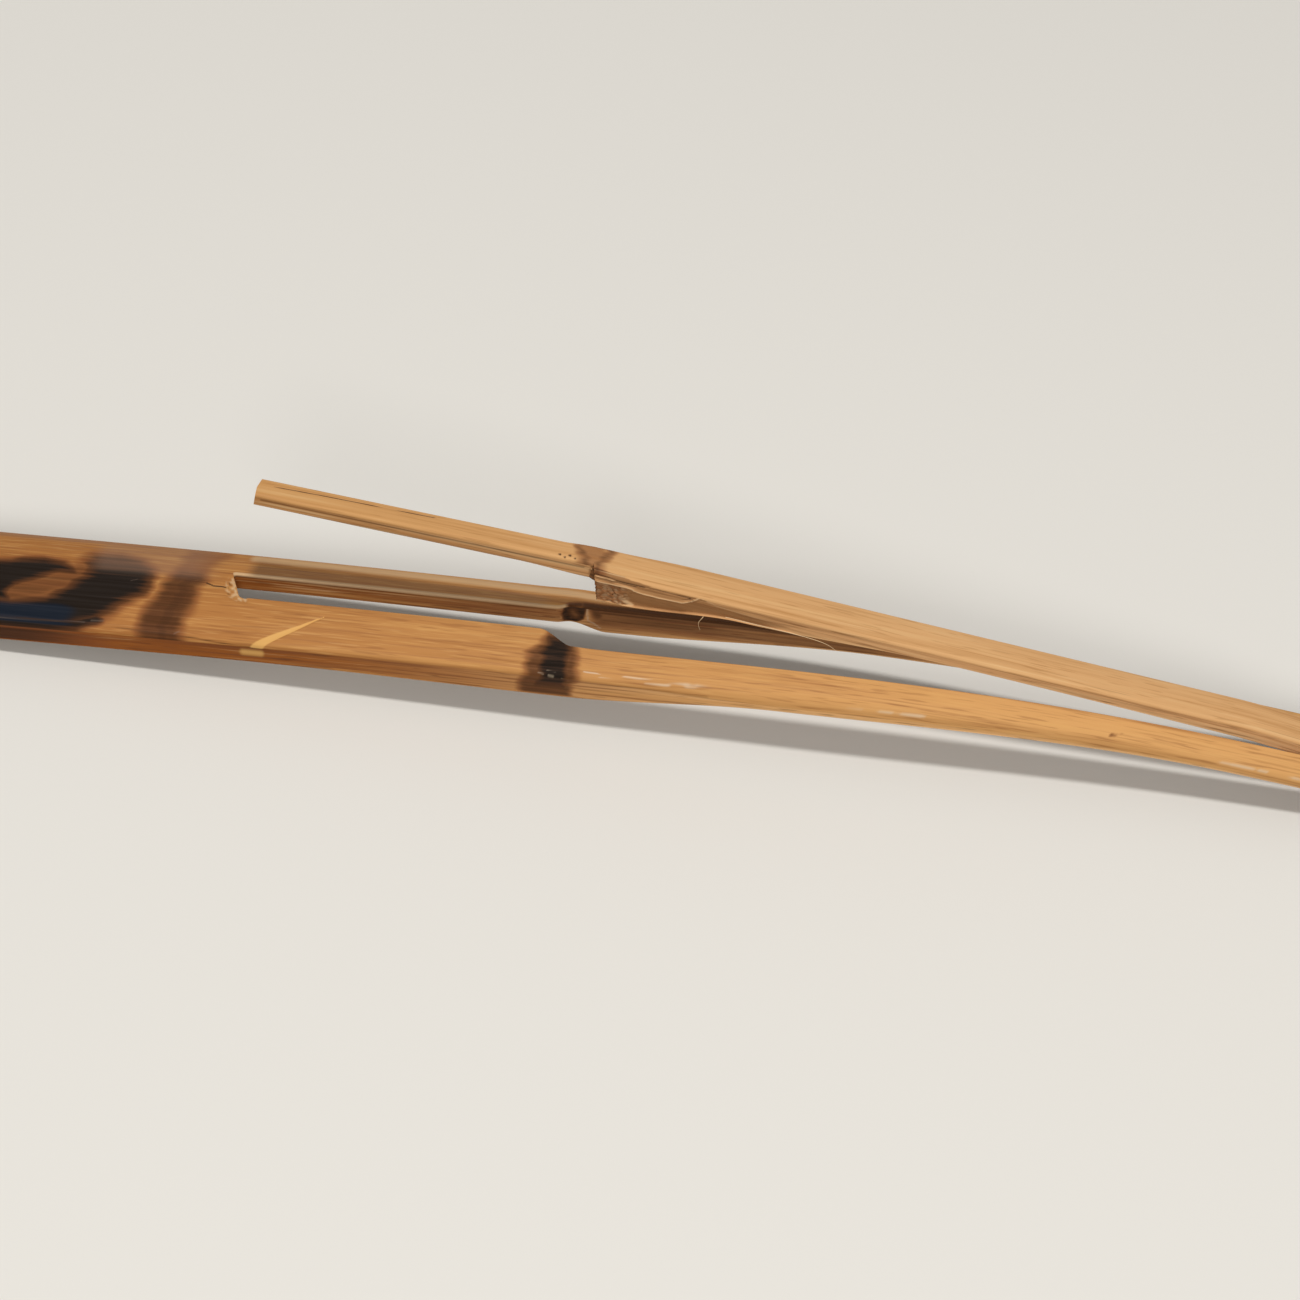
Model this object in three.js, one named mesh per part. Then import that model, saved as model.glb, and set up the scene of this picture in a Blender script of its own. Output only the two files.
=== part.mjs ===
// A bamboo jaw harp. One split of a culm is cut into a frame and a tongue that swings in the frame's slot.
// The culm's outer skin is the top, so every section is an arc above and a scraped hollow below.
// The frame is a solid grip, two arms beside the slot and a solid strike end. The tongue is rooted at the
// strike end and free at the grip. Both are thick and stepped where the culm's joint crosses them.
import * as THREE from "three";

const DEGREE = Math.PI / 180;

// Driving lengths in millimetres, one after the other from the sawn end of the grip to the strike tip
const GRIP_LENGTH = 66;
const NARROW_SLOT_LENGTH = 36.8;
const SHOULDER_LENGTH = 4.2;
const WIDE_SLOT_LENGTH = 105;
const STRIKE_LENGTH = 28;

// The culm: its outer radius and the ring that its joint leaves on the skin
const CULM_RADIUS = 14.9;
const JOINT_SPAN = 7;
const RIDGE_HEIGHT = 0.28;

// Half widths of the strip. The arms taper towards the root, and the far side is cut closer to the tongue.
const GRIP_HALF_WIDTH = 7.4;
const JOINT_HALF_WIDTH = { near: 7.24, far: 7.05 };
const ARM_HALF_WIDTH = { near: 6.08, far: 4.25 };
const STRIKE_HALF_WIDTH = { near: 5.6, far: 4.7 };
const GRIP_CORNER = 1.6;
const STRIKE_CORNER = 3.2;

// Depths below the crown: the scraped hollow in the middle, and the planed land along each edge. Beside the
// tongue's wedge the arms are left as thick as the culm, and from there they thin towards the root.
const GRIP_HOLLOW = 2.45;
const WEDGE_HOLLOW = 4.15;
const ARM_HOLLOW = 2.5;
const ROOT_HOLLOW = 2.6;
const GRIP_LAND_DEPTH = 5.1;
const JOINT_LAND_DEPTH = 5.65;
const ARM_LAND_DEPTH = 3.97;
const ROOT_LAND_DEPTH = 2.98;
const LAND_WIDTH = 0.9;
const STRIKE_DEPTH = 3;
const STRIKE_RAMP = 8;
const THINNED_LENGTH = 26;
const THICK_START = 4;
const THICK_END = 8;
const THICK_REACH = 38;

// The slot's edges, each from the middle of the strip. It narrows to the root, and its sawn end is slanted.
const NARROW_NEAR_EDGE = 1.45;
const NARROW_FAR_EDGE = 2.17;
const WIDE_NEAR_EDGE = 3.55;
const WIDE_FAR_EDGE = 2.73;
const ROOT_NEAR_EDGE = 2.89;
const FAR_SHOULDER_LENGTH = 1.2;
const SLOT_END_SLANT = 0.38;
const SLANT_REACH = 6;

// What the tongue leaves free in the slot
const TIP_GAP = 1;
const NARROW_NEAR_GAP = 0.33;
const NARROW_FAR_GAP = 0.45;
const WIDE_NEAR_GAP = 1.35;
const WIDE_FAR_GAP = 0.39;

// The tongue's thicknesses, the wedge that is left under it at the joint, and its chamfered tip
const TIP_THICKNESS = 1.45;
const NECK_THICKNESS = 2.45;
const NECK_LENGTH = 9;
const WEDGE_DEPTH = 4.7;
const WEDGE_HEEL = 4;
const WEDGE_LENGTH = 44;
const WEDGE_UNDERCUT = 0.6;
const WAIST_THICKNESS = 1.72;
const ROOT_THICKNESS = 2.49;
const TIP_CHAMFER_LENGTH = 1.3;
const TIP_CHAMFER_WIDTH = 0.9;

// How the flexed strip lies: a slight sweep to the joint, the arms' bend, and the tongue out of the slot
const SWEEP_ANGLE = 1.6 * DEGREE;
const SWEEP_LENGTH = 66;
const BEND_ANGLE = 10.44 * DEGREE;
const ROOT_LIFT = 1.42;
const ROOT_LIFT_LENGTH = 23.5;
const NECK_ANGLE = 2.59 * DEGREE;

// Shares of the shoulder, counted back to the middle of the joint, and of the wide slot: where the arms
// start and stop to taper, where they start to bend, and over how much of it. The last is of that bend.
const JOINT_SHARE = 0.125;
const TAPER_START_SHARE = 0.2;
const TAPER_END_SHARE = 0.79;
const BEND_START_SHARE = 0.059;
const BEND_SHARE = 0.972;
const FLEX_SHARE = 0.46;

// Gaps between neighbours: at a plain cut, and at the middle of the arms' bend
const CUT_GAP = 0.3;
const FLEX_GAP = 0.45;

// How finely the skin is drawn, with extra stations where the shape changes fast
const STATION_STEP = 5;
const TRACE_STEP = 0.5;
const ARC_POINTS = 7;
const CORNER_SHARES = [0.08, 0.25, 0.5, 1];
const JOINT_SHARES = [-0.5, -0.3, -0.1, 0.1, 0.3, 0.5];
const SHOULDER_SHARES = [0, 0.25, 0.5, 0.75, 1];

const SKIN_COLOUR = 0xb98550;
const SCRAPED_COLOUR = 0xcf9c62;

// Places along the strip, worked out from the lengths
const slotStart = GRIP_LENGTH;
const shoulderStart = slotStart + NARROW_SLOT_LENGTH;
const shoulderEnd = shoulderStart + SHOULDER_LENGTH;
const jointPlace = shoulderEnd - SHOULDER_LENGTH * JOINT_SHARE;
const rootPlace = shoulderEnd + WIDE_SLOT_LENGTH;
const stripEnd = rootPlace + STRIKE_LENGTH;
const taperStart = shoulderEnd + WIDE_SLOT_LENGTH * TAPER_START_SHARE;
const taperEnd = shoulderEnd + WIDE_SLOT_LENGTH * TAPER_END_SHARE;
const bendStart = shoulderEnd + WIDE_SLOT_LENGTH * BEND_START_SHARE;
const bendLength = WIDE_SLOT_LENGTH * BEND_SHARE;
const flexPlace = bendStart + bendLength * FLEX_SHARE;
const rampEnd = rootPlace + STRIKE_RAMP;
const tipPlace = slotStart + TIP_GAP;

const smooth = (from, to, s) => THREE.MathUtils.smoothstep(s, from, to);

// A size that passes smoothly from stop to stop, each a place along the strip and the size there
function profile(stops) {
  return (s) => {
    let [place, value] = stops[0];
    for (const [nextPlace, nextValue] of stops.slice(1)) {
      value += (nextValue - value) * smooth(place, nextPlace, s);
      place = nextPlace;
    }
    return value;
  };
}

const widthProfile = (side) =>
  profile([
    [0, GRIP_HALF_WIDTH],
    [shoulderEnd, JOINT_HALF_WIDTH[side]],
    [taperStart, JOINT_HALF_WIDTH[side]],
    [taperEnd, ARM_HALF_WIDTH[side]],
    [rootPlace, ARM_HALF_WIDTH[side]],
    [rampEnd, STRIKE_HALF_WIDTH[side]],
  ]);
const halfWidth = { near: widthProfile("near"), far: widthProfile("far") };

const hollowDepth = profile([
  [jointPlace, GRIP_HOLLOW],
  [shoulderEnd + THICK_START, WEDGE_HOLLOW],
  [shoulderEnd + THICK_END, WEDGE_HOLLOW],
  [shoulderEnd + THICK_REACH, ARM_HOLLOW],
  [rootPlace, ROOT_HOLLOW],
  [rampEnd, STRIKE_DEPTH],
]);

const landDepth = profile([
  [slotStart, GRIP_LAND_DEPTH],
  [jointPlace, JOINT_LAND_DEPTH],
  [jointPlace + THINNED_LENGTH, ARM_LAND_DEPTH],
  [taperEnd, ROOT_LAND_DEPTH],
  [rootPlace, ROOT_LAND_DEPTH],
  [rampEnd, STRIKE_DEPTH],
]);

const nearSlotEdge = profile([
  [shoulderStart, -NARROW_NEAR_EDGE],
  [shoulderEnd, -WIDE_NEAR_EDGE],
  [taperEnd, -ROOT_NEAR_EDGE],
]);

const farSlotEdge = profile([
  [shoulderStart, NARROW_FAR_EDGE],
  [shoulderStart + FAR_SHOULDER_LENGTH, WIDE_FAR_EDGE],
]);

// The corners of both ends are rounded, as a quarter of an ellipse that takes width off the end
function rounding(distance, corner) {
  const inward = 1 - Math.min(distance / corner, 1);
  return corner * (1 - Math.sqrt(1 - inward * inward));
}

const cornerCut = (s) => rounding(s, GRIP_CORNER) + rounding(stripEnd - s, STRIKE_CORNER);
const nearEdge = (s) => cornerCut(s) - halfWidth.near(s);
const farEdge = (s) => halfWidth.far(s) - cornerCut(s);

const skinDrop = (y) => CULM_RADIUS - Math.sqrt(CULM_RADIUS ** 2 - y ** 2);

// The joint stands up as a low ridge across the skin
function ridge(s) {
  const share = Math.abs(s - jointPlace) / (JOINT_SPAN / 2);
  return share < 1 ? (RIDGE_HEIGHT * (1 + Math.cos(Math.PI * share))) / 2 : 0;
}

const skinHeight = (s, y) => ridge(s) - skinDrop(y);

function undersideHeight(s, y) {
  const landEdge = halfWidth[y < 0 ? "near" : "far"](s) - LAND_WIDTH;
  const share = Math.min(Math.abs(y) / landEdge, 1);
  return -THREE.MathUtils.lerp(hollowDepth(s), landDepth(s), share ** 2);
}

// A section runs over the skin from its far edge to its near edge, and back along the underside
function section(near, far, skin, underside, undercut = 0) {
  const ring = [];
  for (let i = 0; i < ARC_POINTS; i += 1) {
    const y = THREE.MathUtils.lerp(far, near, i / (ARC_POINTS - 1));
    ring.push([y, skin(y)]);
  }
  for (let i = 0; i < ARC_POINTS; i += 1) {
    const y = THREE.MathUtils.lerp(near + undercut, far, i / (ARC_POINTS - 1));
    ring.push([y, underside(y)]);
  }
  return ring;
}

// Adds up a tilt along a length in short steps, and gives the place and the tilt at any point of it
function trace(length, tiltAt) {
  const steps = Math.ceil(length / TRACE_STEP);
  const step = length / steps;
  const points = [new THREE.Vector2()];
  for (let i = 0; i < steps; i += 1) {
    const tilt = tiltAt((i + 0.5) * step);
    const reach = new THREE.Vector2(Math.cos(tilt), Math.sin(tilt)).multiplyScalar(step);
    points.push(points[i].clone().add(reach));
  }
  return (s) => {
    const i = THREE.MathUtils.clamp(Math.floor(s / step), 0, steps - 1);
    const point = points[i].clone().lerp(points[i + 1], s / step - i);
    return { x: point.x, z: point.y, tilt: tiltAt(s) };
  };
}

const sweepStart = shoulderEnd - SWEEP_LENGTH;
const stripTilt = (s) =>
  -SWEEP_ANGLE * smooth(sweepStart, shoulderEnd, s) -
  BEND_ANGLE * smooth(bendStart, bendStart + bendLength, s);
const onStrip = trace(stripEnd, stripTilt);

// The tongue runs back from its root, straight but for a small lift at the root and a bend at the joint.
// The lift's slope is a parabola, and six times share times its rest is the one that adds up to 1.
const root = onStrip(rootPlace);
function tongueTilt(back) {
  const share = THREE.MathUtils.clamp(back / ROOT_LIFT_LENGTH, 0, 1);
  const lift = (ROOT_LIFT / ROOT_LIFT_LENGTH) * 6 * share * (1 - share);
  const neck = back > rootPlace - shoulderEnd ? NECK_ANGLE : 0;
  return root.tilt - lift + neck;
}
const tongueTrace = trace(rootPlace - tipPlace, tongueTilt);
function onTongue(s) {
  const { x, z, tilt } = tongueTrace(rootPlace - s);
  return { x: root.x - x, z: root.z - z, tilt };
}

// Stations from one end of a piece to the other, with more of them where its shape changes
function stations(start, end, marks = []) {
  const inner = marks.filter((mark) => mark > start && mark < end);
  const stops = [start, ...inner, end].sort((a, b) => a - b);
  const places = [start];
  stops.slice(1).forEach((stop, i) => {
    const parts = Math.ceil((stop - stops[i]) / STATION_STEP);
    for (let k = 1; k <= parts; k += 1) {
      places.push(THREE.MathUtils.lerp(stops[i], stop, k / parts));
    }
  });
  return places;
}

// Joins rings of points one after another, and closes the first and the last with a cap
function skinFaces(outlines) {
  const count = outlines[0].length;
  const faces = [];
  for (let k = 1; k < outlines.length; k += 1) {
    const near = (k - 1) * count;
    const far = k * count;
    for (let i = 0; i < count; i += 1) {
      const next = (i + 1) % count;
      faces.push(near + i, near + next, far + next, near + i, far + next, far + i);
    }
  }
  const cap = (outline) => THREE.ShapeUtils.triangulateShape(outline.map((p) => new THREE.Vector2(...p)), []);
  const last = (outlines.length - 1) * count;
  cap(outlines[0]).forEach(([a, b, c]) => faces.push(a, c, b));
  cap(outlines.at(-1)).forEach(([a, b, c]) => faces.push(last + a, last + b, last + c));
  return faces;
}

// A piece of the strip: its section at each station, stood square to the line that the piece follows
function strip({ name, colour, line, places, sectionAt, slant = () => 0 }) {
  const outlines = places.map(sectionAt);
  const positions = [];
  outlines.forEach((outline, k) => {
    outline.forEach(([y, n]) => {
      const { x, z, tilt } = line(places[k] + slant(places[k], y));
      positions.push(x - Math.sin(tilt) * n, y, z + Math.cos(tilt) * n);
    });
  });
  const geometry = new THREE.BufferGeometry();
  geometry.setAttribute("position", new THREE.Float32BufferAttribute(positions, 3));
  geometry.setIndex(skinFaces(outlines));
  geometry.computeVertexNormals();
  const material = new THREE.MeshStandardMaterial({ color: colour, roughness: 0.45, metalness: 0 });
  const mesh = new THREE.Mesh(geometry, material);
  mesh.name = name;
  return mesh;
}

const jointMarks = JOINT_SHARES.map((share) => jointPlace + share * JOINT_SPAN);
const shoulderMarks = SHOULDER_SHARES.map((share) => shoulderStart + share * SHOULDER_LENGTH);
const farShoulderMarks = SHOULDER_SHARES.map((share) => shoulderStart + share * FAR_SHOULDER_LENGTH);

// The frame's sections: the whole strip, and the arm on each side of the slot
function frameSection(s, near, far) {
  const skin = (y) => skinHeight(s, y);
  const underside = (y) => undersideHeight(s, y);
  return section(near, far, skin, underside);
}

const solidSection = (s) => frameSection(s, nearEdge(s), farEdge(s));
const nearArmSection = (s) => frameSection(s, nearEdge(s), nearSlotEdge(s));
const farArmSection = (s) => frameSection(s, farSlotEdge(s), farEdge(s));

// The slot's end is sawn a little askew, so the grip ends and the arms begin on the same slant
function slotSlant(s, y) {
  const fade = Math.max(1 - Math.abs(s - slotStart) / SLANT_REACH, 0);
  return -fade * SLOT_END_SLANT * y;
}

function gripEnd() {
  const corner = CORNER_SHARES.map((share) => share * GRIP_CORNER);
  return strip({
    name: "grip_end",
    colour: SKIN_COLOUR,
    line: onStrip,
    places: stations(0, slotStart, corner),
    sectionAt: solidSection,
    slant: slotSlant,
  });
}

function arm(name, sectionAt, shoulder) {
  return strip({
    name,
    colour: SKIN_COLOUR,
    line: onStrip,
    places: stations(slotStart + CUT_GAP, flexPlace - FLEX_GAP / 2, [...jointMarks, ...shoulder]),
    sectionAt,
    slant: slotSlant,
  });
}

function armRoot(name, sectionAt) {
  return strip({
    name,
    colour: SKIN_COLOUR,
    line: onStrip,
    places: stations(flexPlace + FLEX_GAP / 2, rootPlace - CUT_GAP),
    sectionAt,
  });
}

function strikeEnd() {
  const corner = CORNER_SHARES.map((share) => stripEnd - share * STRIKE_CORNER);
  return strip({
    name: "strike_end",
    colour: SKIN_COLOUR,
    line: onStrip,
    places: stations(rootPlace, stripEnd, [rampEnd, ...corner]),
    sectionAt: solidSection,
  });
}

// The tongue's edges follow the slot's, less the gaps that let it swing
const tongueNear = { narrow: NARROW_NEAR_GAP - NARROW_NEAR_EDGE, wide: WIDE_NEAR_GAP - WIDE_NEAR_EDGE };
const tongueFar = { narrow: NARROW_FAR_EDGE - NARROW_FAR_GAP, wide: WIDE_FAR_EDGE - WIDE_FAR_GAP };

const tipThickness = profile([
  [shoulderEnd - NECK_LENGTH, TIP_THICKNESS],
  [shoulderEnd, NECK_THICKNESS],
]);

const bladeThickness = profile([
  [shoulderEnd + WEDGE_HEEL, WEDGE_DEPTH],
  [shoulderEnd + WEDGE_LENGTH, WAIST_THICKNESS],
  [rootPlace, ROOT_THICKNESS],
]);

function bladeSection(s) {
  const thickness = bladeThickness(s);
  const undercut = (WEDGE_UNDERCUT * (thickness - WAIST_THICKNESS)) / WEDGE_DEPTH;
  const skin = (y) => skinHeight(s, y);
  return section(tongueNear.wide, tongueFar.wide, skin, () => -thickness, undercut);
}

function tipSection(s) {
  const chamfer = TIP_CHAMFER_WIDTH * Math.max(1 - (s - tipPlace) / TIP_CHAMFER_LENGTH, 0);
  const skin = (y) => skinHeight(s, y);
  return section(tongueNear.narrow, tongueFar.narrow - chamfer, skin, () => -tipThickness(s));
}

function tongueBlade() {
  return strip({
    name: "tongue_blade",
    colour: SCRAPED_COLOUR,
    line: onTongue,
    places: stations(shoulderEnd, rootPlace - CUT_GAP, jointMarks),
    sectionAt: bladeSection,
  });
}

function tongueTip() {
  const marks = [tipPlace + TIP_CHAMFER_LENGTH, ...jointMarks];
  return strip({
    name: "tongue_tip",
    colour: SCRAPED_COLOUR,
    line: onTongue,
    places: stations(tipPlace, shoulderEnd - CUT_GAP, marks),
    sectionAt: tipSection,
  });
}

const nearArm = arm("near_arm", nearArmSection, shoulderMarks);
const farArm = arm("far_arm", farArmSection, farShoulderMarks);
const frame = new THREE.Group();
frame.add(gripEnd(), nearArm, farArm);

const strike = new THREE.Group();
strike.add(strikeEnd(), armRoot("near_arm_root", nearArmSection), armRoot("far_arm_root", farArmSection));

const tongue = new THREE.Group();
tongue.add(tongueBlade(), tongueTip());

const harp = new THREE.Group();
harp.name = "bamboo_jaw_harp";
harp.add(frame, strike, tongue);

// The flexed strip lies on a table on its two ends, with the middle of its length at the origin
const gripFoot = new THREE.Vector2(0, -GRIP_LAND_DEPTH);
const tip = onStrip(stripEnd);
const strikeFoot = new THREE.Vector2(
  tip.x + Math.sin(tip.tilt) * STRIKE_DEPTH,
  tip.z - Math.cos(tip.tilt) * STRIKE_DEPTH,
);
harp.rotation.y = strikeFoot.sub(gripFoot).angle();
const box = new THREE.Box3().setFromObject(harp, true);
const middle = box.getCenter(new THREE.Vector3());
harp.position.set(-middle.x, -middle.y, -box.min.z);

export default harp;
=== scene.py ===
# %% [markdown]
# A bamboo jaw harp. The real one is a single split of a culm. Its outer skin is on top, oiled and marked
# with scorched bands, and a long tongue is cut free in the middle and left rooted at one end. In this
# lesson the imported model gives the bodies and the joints. We build a fine skin over each of its pieces,
# with the bends, the torn wedge and the cuts that the knife left, and then give it the look of bamboo.
# %% Load the frame
import math

import bpy
import numpy as np
from mathutils import Matrix, Vector, noise


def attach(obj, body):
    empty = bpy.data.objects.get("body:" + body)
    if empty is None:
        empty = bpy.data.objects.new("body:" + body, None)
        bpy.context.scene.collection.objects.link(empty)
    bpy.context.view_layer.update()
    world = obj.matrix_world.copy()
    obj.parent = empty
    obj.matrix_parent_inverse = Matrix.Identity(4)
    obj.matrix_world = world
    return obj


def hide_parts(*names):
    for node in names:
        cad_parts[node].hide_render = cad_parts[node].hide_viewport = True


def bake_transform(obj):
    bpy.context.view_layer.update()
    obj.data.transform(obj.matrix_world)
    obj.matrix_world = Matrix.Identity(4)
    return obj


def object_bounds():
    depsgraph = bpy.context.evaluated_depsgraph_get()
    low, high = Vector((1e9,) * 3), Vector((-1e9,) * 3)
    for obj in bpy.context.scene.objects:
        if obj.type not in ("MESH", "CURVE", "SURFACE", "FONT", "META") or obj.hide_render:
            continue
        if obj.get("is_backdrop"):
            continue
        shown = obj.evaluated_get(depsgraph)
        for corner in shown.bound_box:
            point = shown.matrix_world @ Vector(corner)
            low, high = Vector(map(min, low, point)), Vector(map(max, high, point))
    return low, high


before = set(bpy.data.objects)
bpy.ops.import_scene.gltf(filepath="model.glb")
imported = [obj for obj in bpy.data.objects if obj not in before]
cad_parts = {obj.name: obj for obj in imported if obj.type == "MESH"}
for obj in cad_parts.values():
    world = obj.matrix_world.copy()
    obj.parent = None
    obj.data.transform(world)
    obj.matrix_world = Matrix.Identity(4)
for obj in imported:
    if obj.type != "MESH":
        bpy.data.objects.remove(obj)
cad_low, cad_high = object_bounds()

MM = 0.001
scene = bpy.context.scene

# %% [markdown]
# Every size is a real one in millimetres. A place along the harp is s, counted from the sawn end of the
# grip. Across it is y, with the near arm negative, and n is the height over the crown of the skin. In these
# three numbers a curved strip is as easy to shape as a straight one.
# %% The strip's lengths and places
GRIP_LENGTH = 66
NARROW_SLOT_LENGTH = 36.8
SHOULDER_LENGTH = 4.2
WIDE_SLOT_LENGTH = 105
STRIKE_LENGTH = 28

slot_start = GRIP_LENGTH
shoulder_start = slot_start + NARROW_SLOT_LENGTH
shoulder_end = shoulder_start + SHOULDER_LENGTH
root_place = shoulder_end + WIDE_SLOT_LENGTH
strip_end = root_place + STRIKE_LENGTH

JOINT_SHARE = 0.125
TAPER_START_SHARE = 0.2
TAPER_END_SHARE = 0.79
BEND_START_SHARE = 0.059
BEND_SHARE = 0.972
FLEX_SHARE = 0.46
joint_place = shoulder_end - SHOULDER_LENGTH * JOINT_SHARE
taper_start = shoulder_end + WIDE_SLOT_LENGTH * TAPER_START_SHARE
taper_end = shoulder_end + WIDE_SLOT_LENGTH * TAPER_END_SHARE
bend_start = shoulder_end + WIDE_SLOT_LENGTH * BEND_START_SHARE
bend_length = WIDE_SLOT_LENGTH * BEND_SHARE
flex_place = bend_start + bend_length * FLEX_SHARE

TIP_GAP = 1
STRIKE_RAMP = 8
tip_place = slot_start + TIP_GAP
ramp_end = root_place + STRIKE_RAMP
print(f"slot from {slot_start:.1f} to {root_place:.1f} mm, joint at {joint_place:.1f} mm")


# %% [markdown]
# A knife leaves no sudden changes, so each size passes smoothly from one stop to the next. These small
# functions are the tools for that.
# %% Sizes that change along the strip
def smooth(low, high, value):
    share = np.clip((value - low) / (high - low), 0, 1)
    return share * share * (3 - 2 * share)


def profile(*stops):
    def size_at(s):
        place, value = stops[0]
        total = value + 0 * s
        for next_place, next_value in stops[1:]:
            total = total + (next_value - value) * smooth(place, next_place, s)
            place, value = next_place, next_value
        return total

    return size_at


def fade(low, high, value):
    return 1 - smooth(low, high, value)


def wave(middle, reach, value):
    return fade(0, reach, np.abs(value - middle))


def between(value, rise, fall):
    """1 between a rise and a fall, each a pair of values that it passes smoothly over."""
    return smooth(*rise, value) * fade(*fall, value)


near_half = profile(
    (0, 7.4), (shoulder_end, 7.24), (taper_start, 7.24), (taper_end, 6.08), (root_place, 6.08),
    (ramp_end, 5.6),
)
far_half = profile(
    (0, 7.4), (shoulder_end, 7.05), (taper_start, 7.05), (taper_end, 4.25), (root_place, 4.25),
    (ramp_end, 4.7),
)
hollow_depth = profile(
    (joint_place, 2.45), (shoulder_end + 4, 4.15), (shoulder_end + 8, 4.15), (shoulder_end + 38, 2.5),
    (root_place, 2.6), (ramp_end, 3),
)
land_depth = profile(
    (slot_start, 5.1), (joint_place, 5.65), (joint_place + 26, 3.97), (taper_end, 2.98), (root_place, 2.98),
    (ramp_end, 3),
)
near_slot = profile((shoulder_start, 1.45), (shoulder_end, 3.55), (taper_end, 2.89))
far_slot = profile((shoulder_start + 1.8, 2.17), (joint_place, 2.73))
near_width = near_half(taper_end) - near_slot(taper_end)
far_width = far_half(taper_end) - far_slot(taper_end)
print(f"arms {near_width:.1f} mm and {far_width:.1f} mm wide")

# %% [markdown]
# The corners of both ends are rounded, and so are the two corners of the slot's sawn end, because a knife
# point leaves no sharp inner corner.
# %% The edges seen from above
GRIP_CORNER = 1.6
STRIKE_CORNER = 3.2
SLOT_CORNER = 0.45
LAND_WIDTH = 0.9


def rounding(distance, radius):
    """How far a round corner of this radius stands back, at this distance from the corner."""
    radius = np.maximum(radius, 1e-6)
    inward = np.clip(1 - distance / radius, 0, 1)
    return radius * (1 - np.sqrt(1 - inward**2))


def end_corners(s):
    return rounding(s, GRIP_CORNER) + rounding(strip_end - s, STRIKE_CORNER)


def slot_corners(s):
    return rounding(s - slot_start, SLOT_CORNER)


def edge(line, side, corners):
    """A line seen from above, on side -1 or 1 of the strip's middle, drawn in at its corners."""
    return lambda s: side * (line(s) - corners(s))


near_edge, far_edge = edge(near_half, -1, end_corners), edge(far_half, 1, end_corners)
near_slot_edge, far_slot_edge = edge(near_slot, -1, slot_corners), edge(far_slot, 1, slot_corners)
print(f"width {2 * near_half(0):.1f} mm at the grip")

# %% [markdown]
# The photographed harp is flexed. Its arms bend down towards the strike end, and the tongue keeps its own
# line and stands out of the slot. Walking along a line whose tilt is known gives both lines. The whole
# harp is then leaned so that it lies on a table on its two ends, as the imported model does.
# %% The line of the strip and the line of the tongue
SWEEP_ANGLE = math.radians(1.6)
SWEEP_LENGTH = 66
BEND_ANGLE = math.radians(10.44)
ROOT_LIFT = 1.42
ROOT_LIFT_LENGTH = 23.5
NECK_ANGLE = math.radians(2.59)
TRACE_STEP = 0.5
GRIP_FOOT_DEPTH = 5.1
STRIKE_FOOT_DEPTH = 3


def walk(length, tilt_at):
    count = math.ceil(length / TRACE_STEP)
    step = length / count
    tilt = tilt_at((np.arange(count) + 0.5) * step)
    x = np.concatenate([[0], np.cumsum(np.cos(tilt))]) * step
    z = np.concatenate([[0], np.cumsum(np.sin(tilt))]) * step
    places = np.arange(count + 1) * step
    return lambda s: (np.interp(s, places, x), np.interp(s, places, z), tilt_at(s))


def strip_tilt(s):
    sweep = SWEEP_ANGLE * smooth(shoulder_end - SWEEP_LENGTH, shoulder_end, s)
    return -sweep - BEND_ANGLE * smooth(bend_start, bend_start + bend_length, s)


on_strip = walk(strip_end, strip_tilt)
root_x, root_z, root_tilt = on_strip(root_place)


def tongue_tilt(back):
    share = np.clip(back / ROOT_LIFT_LENGTH, 0, 1)
    lift = ROOT_LIFT / ROOT_LIFT_LENGTH * 6 * share * (1 - share)
    return root_tilt - lift + NECK_ANGLE * (back > WIDE_SLOT_LENGTH)


tongue_walk = walk(root_place - tip_place, tongue_tilt)


def on_tongue(s):
    x, z, tilt = tongue_walk(root_place - s)
    return root_x - x, root_z - z, tilt


end_x, end_z, end_tilt = on_strip(strip_end)
foot_x = end_x + math.sin(end_tilt) * STRIKE_FOOT_DEPTH
foot_z = end_z - math.cos(end_tilt) * STRIKE_FOOT_DEPTH + GRIP_FOOT_DEPTH
lean = -math.atan2(foot_z, foot_x)


def place(line, s, y, n):
    """Points of the row frame, in metres, for s, y and n in millimetres."""
    x, z, tilt = line(s)
    x, z = x - np.sin(tilt) * n, z + np.cos(tilt) * n
    along = x * math.cos(lean) - z * math.sin(lean)
    high = x * math.sin(lean) + z * math.cos(lean) + GRIP_FOOT_DEPTH * math.cos(lean)
    return np.stack([along * MM + cad_low.x, y * MM + 0 * along, high * MM], axis=-1)


def spot(line, s, y, n):
    return Vector(place(line, np.float64(s), np.float64(y), np.float64(n)).tolist())


root_spot = spot(on_strip, root_place, 0, 0) / MM
print(f"leaned by {math.degrees(lean):.2f} degrees, root at {root_spot.x:.1f}, {root_spot.z:.1f} mm")

# %% [markdown]
# The camera comes before the looks, so that every render can be laid beside the photograph. It stands on
# the near side, 48 degrees above the strip and 300 mm away from it, and is rolled a little. A small shift
# of the lens brings the strip to where it is in the picture.
# %% Camera
CAMERA_DISTANCE = 300
CAMERA_ELEVATION = math.radians(48)
CAMERA_ROLL = 0.09
PIXELS_PER_MM = 8.3
PICTURE_PIXELS = 1300
SENSOR = 36
PIVOT_PLACE = 113
pivot_pixel = (625, 621.3)

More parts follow.
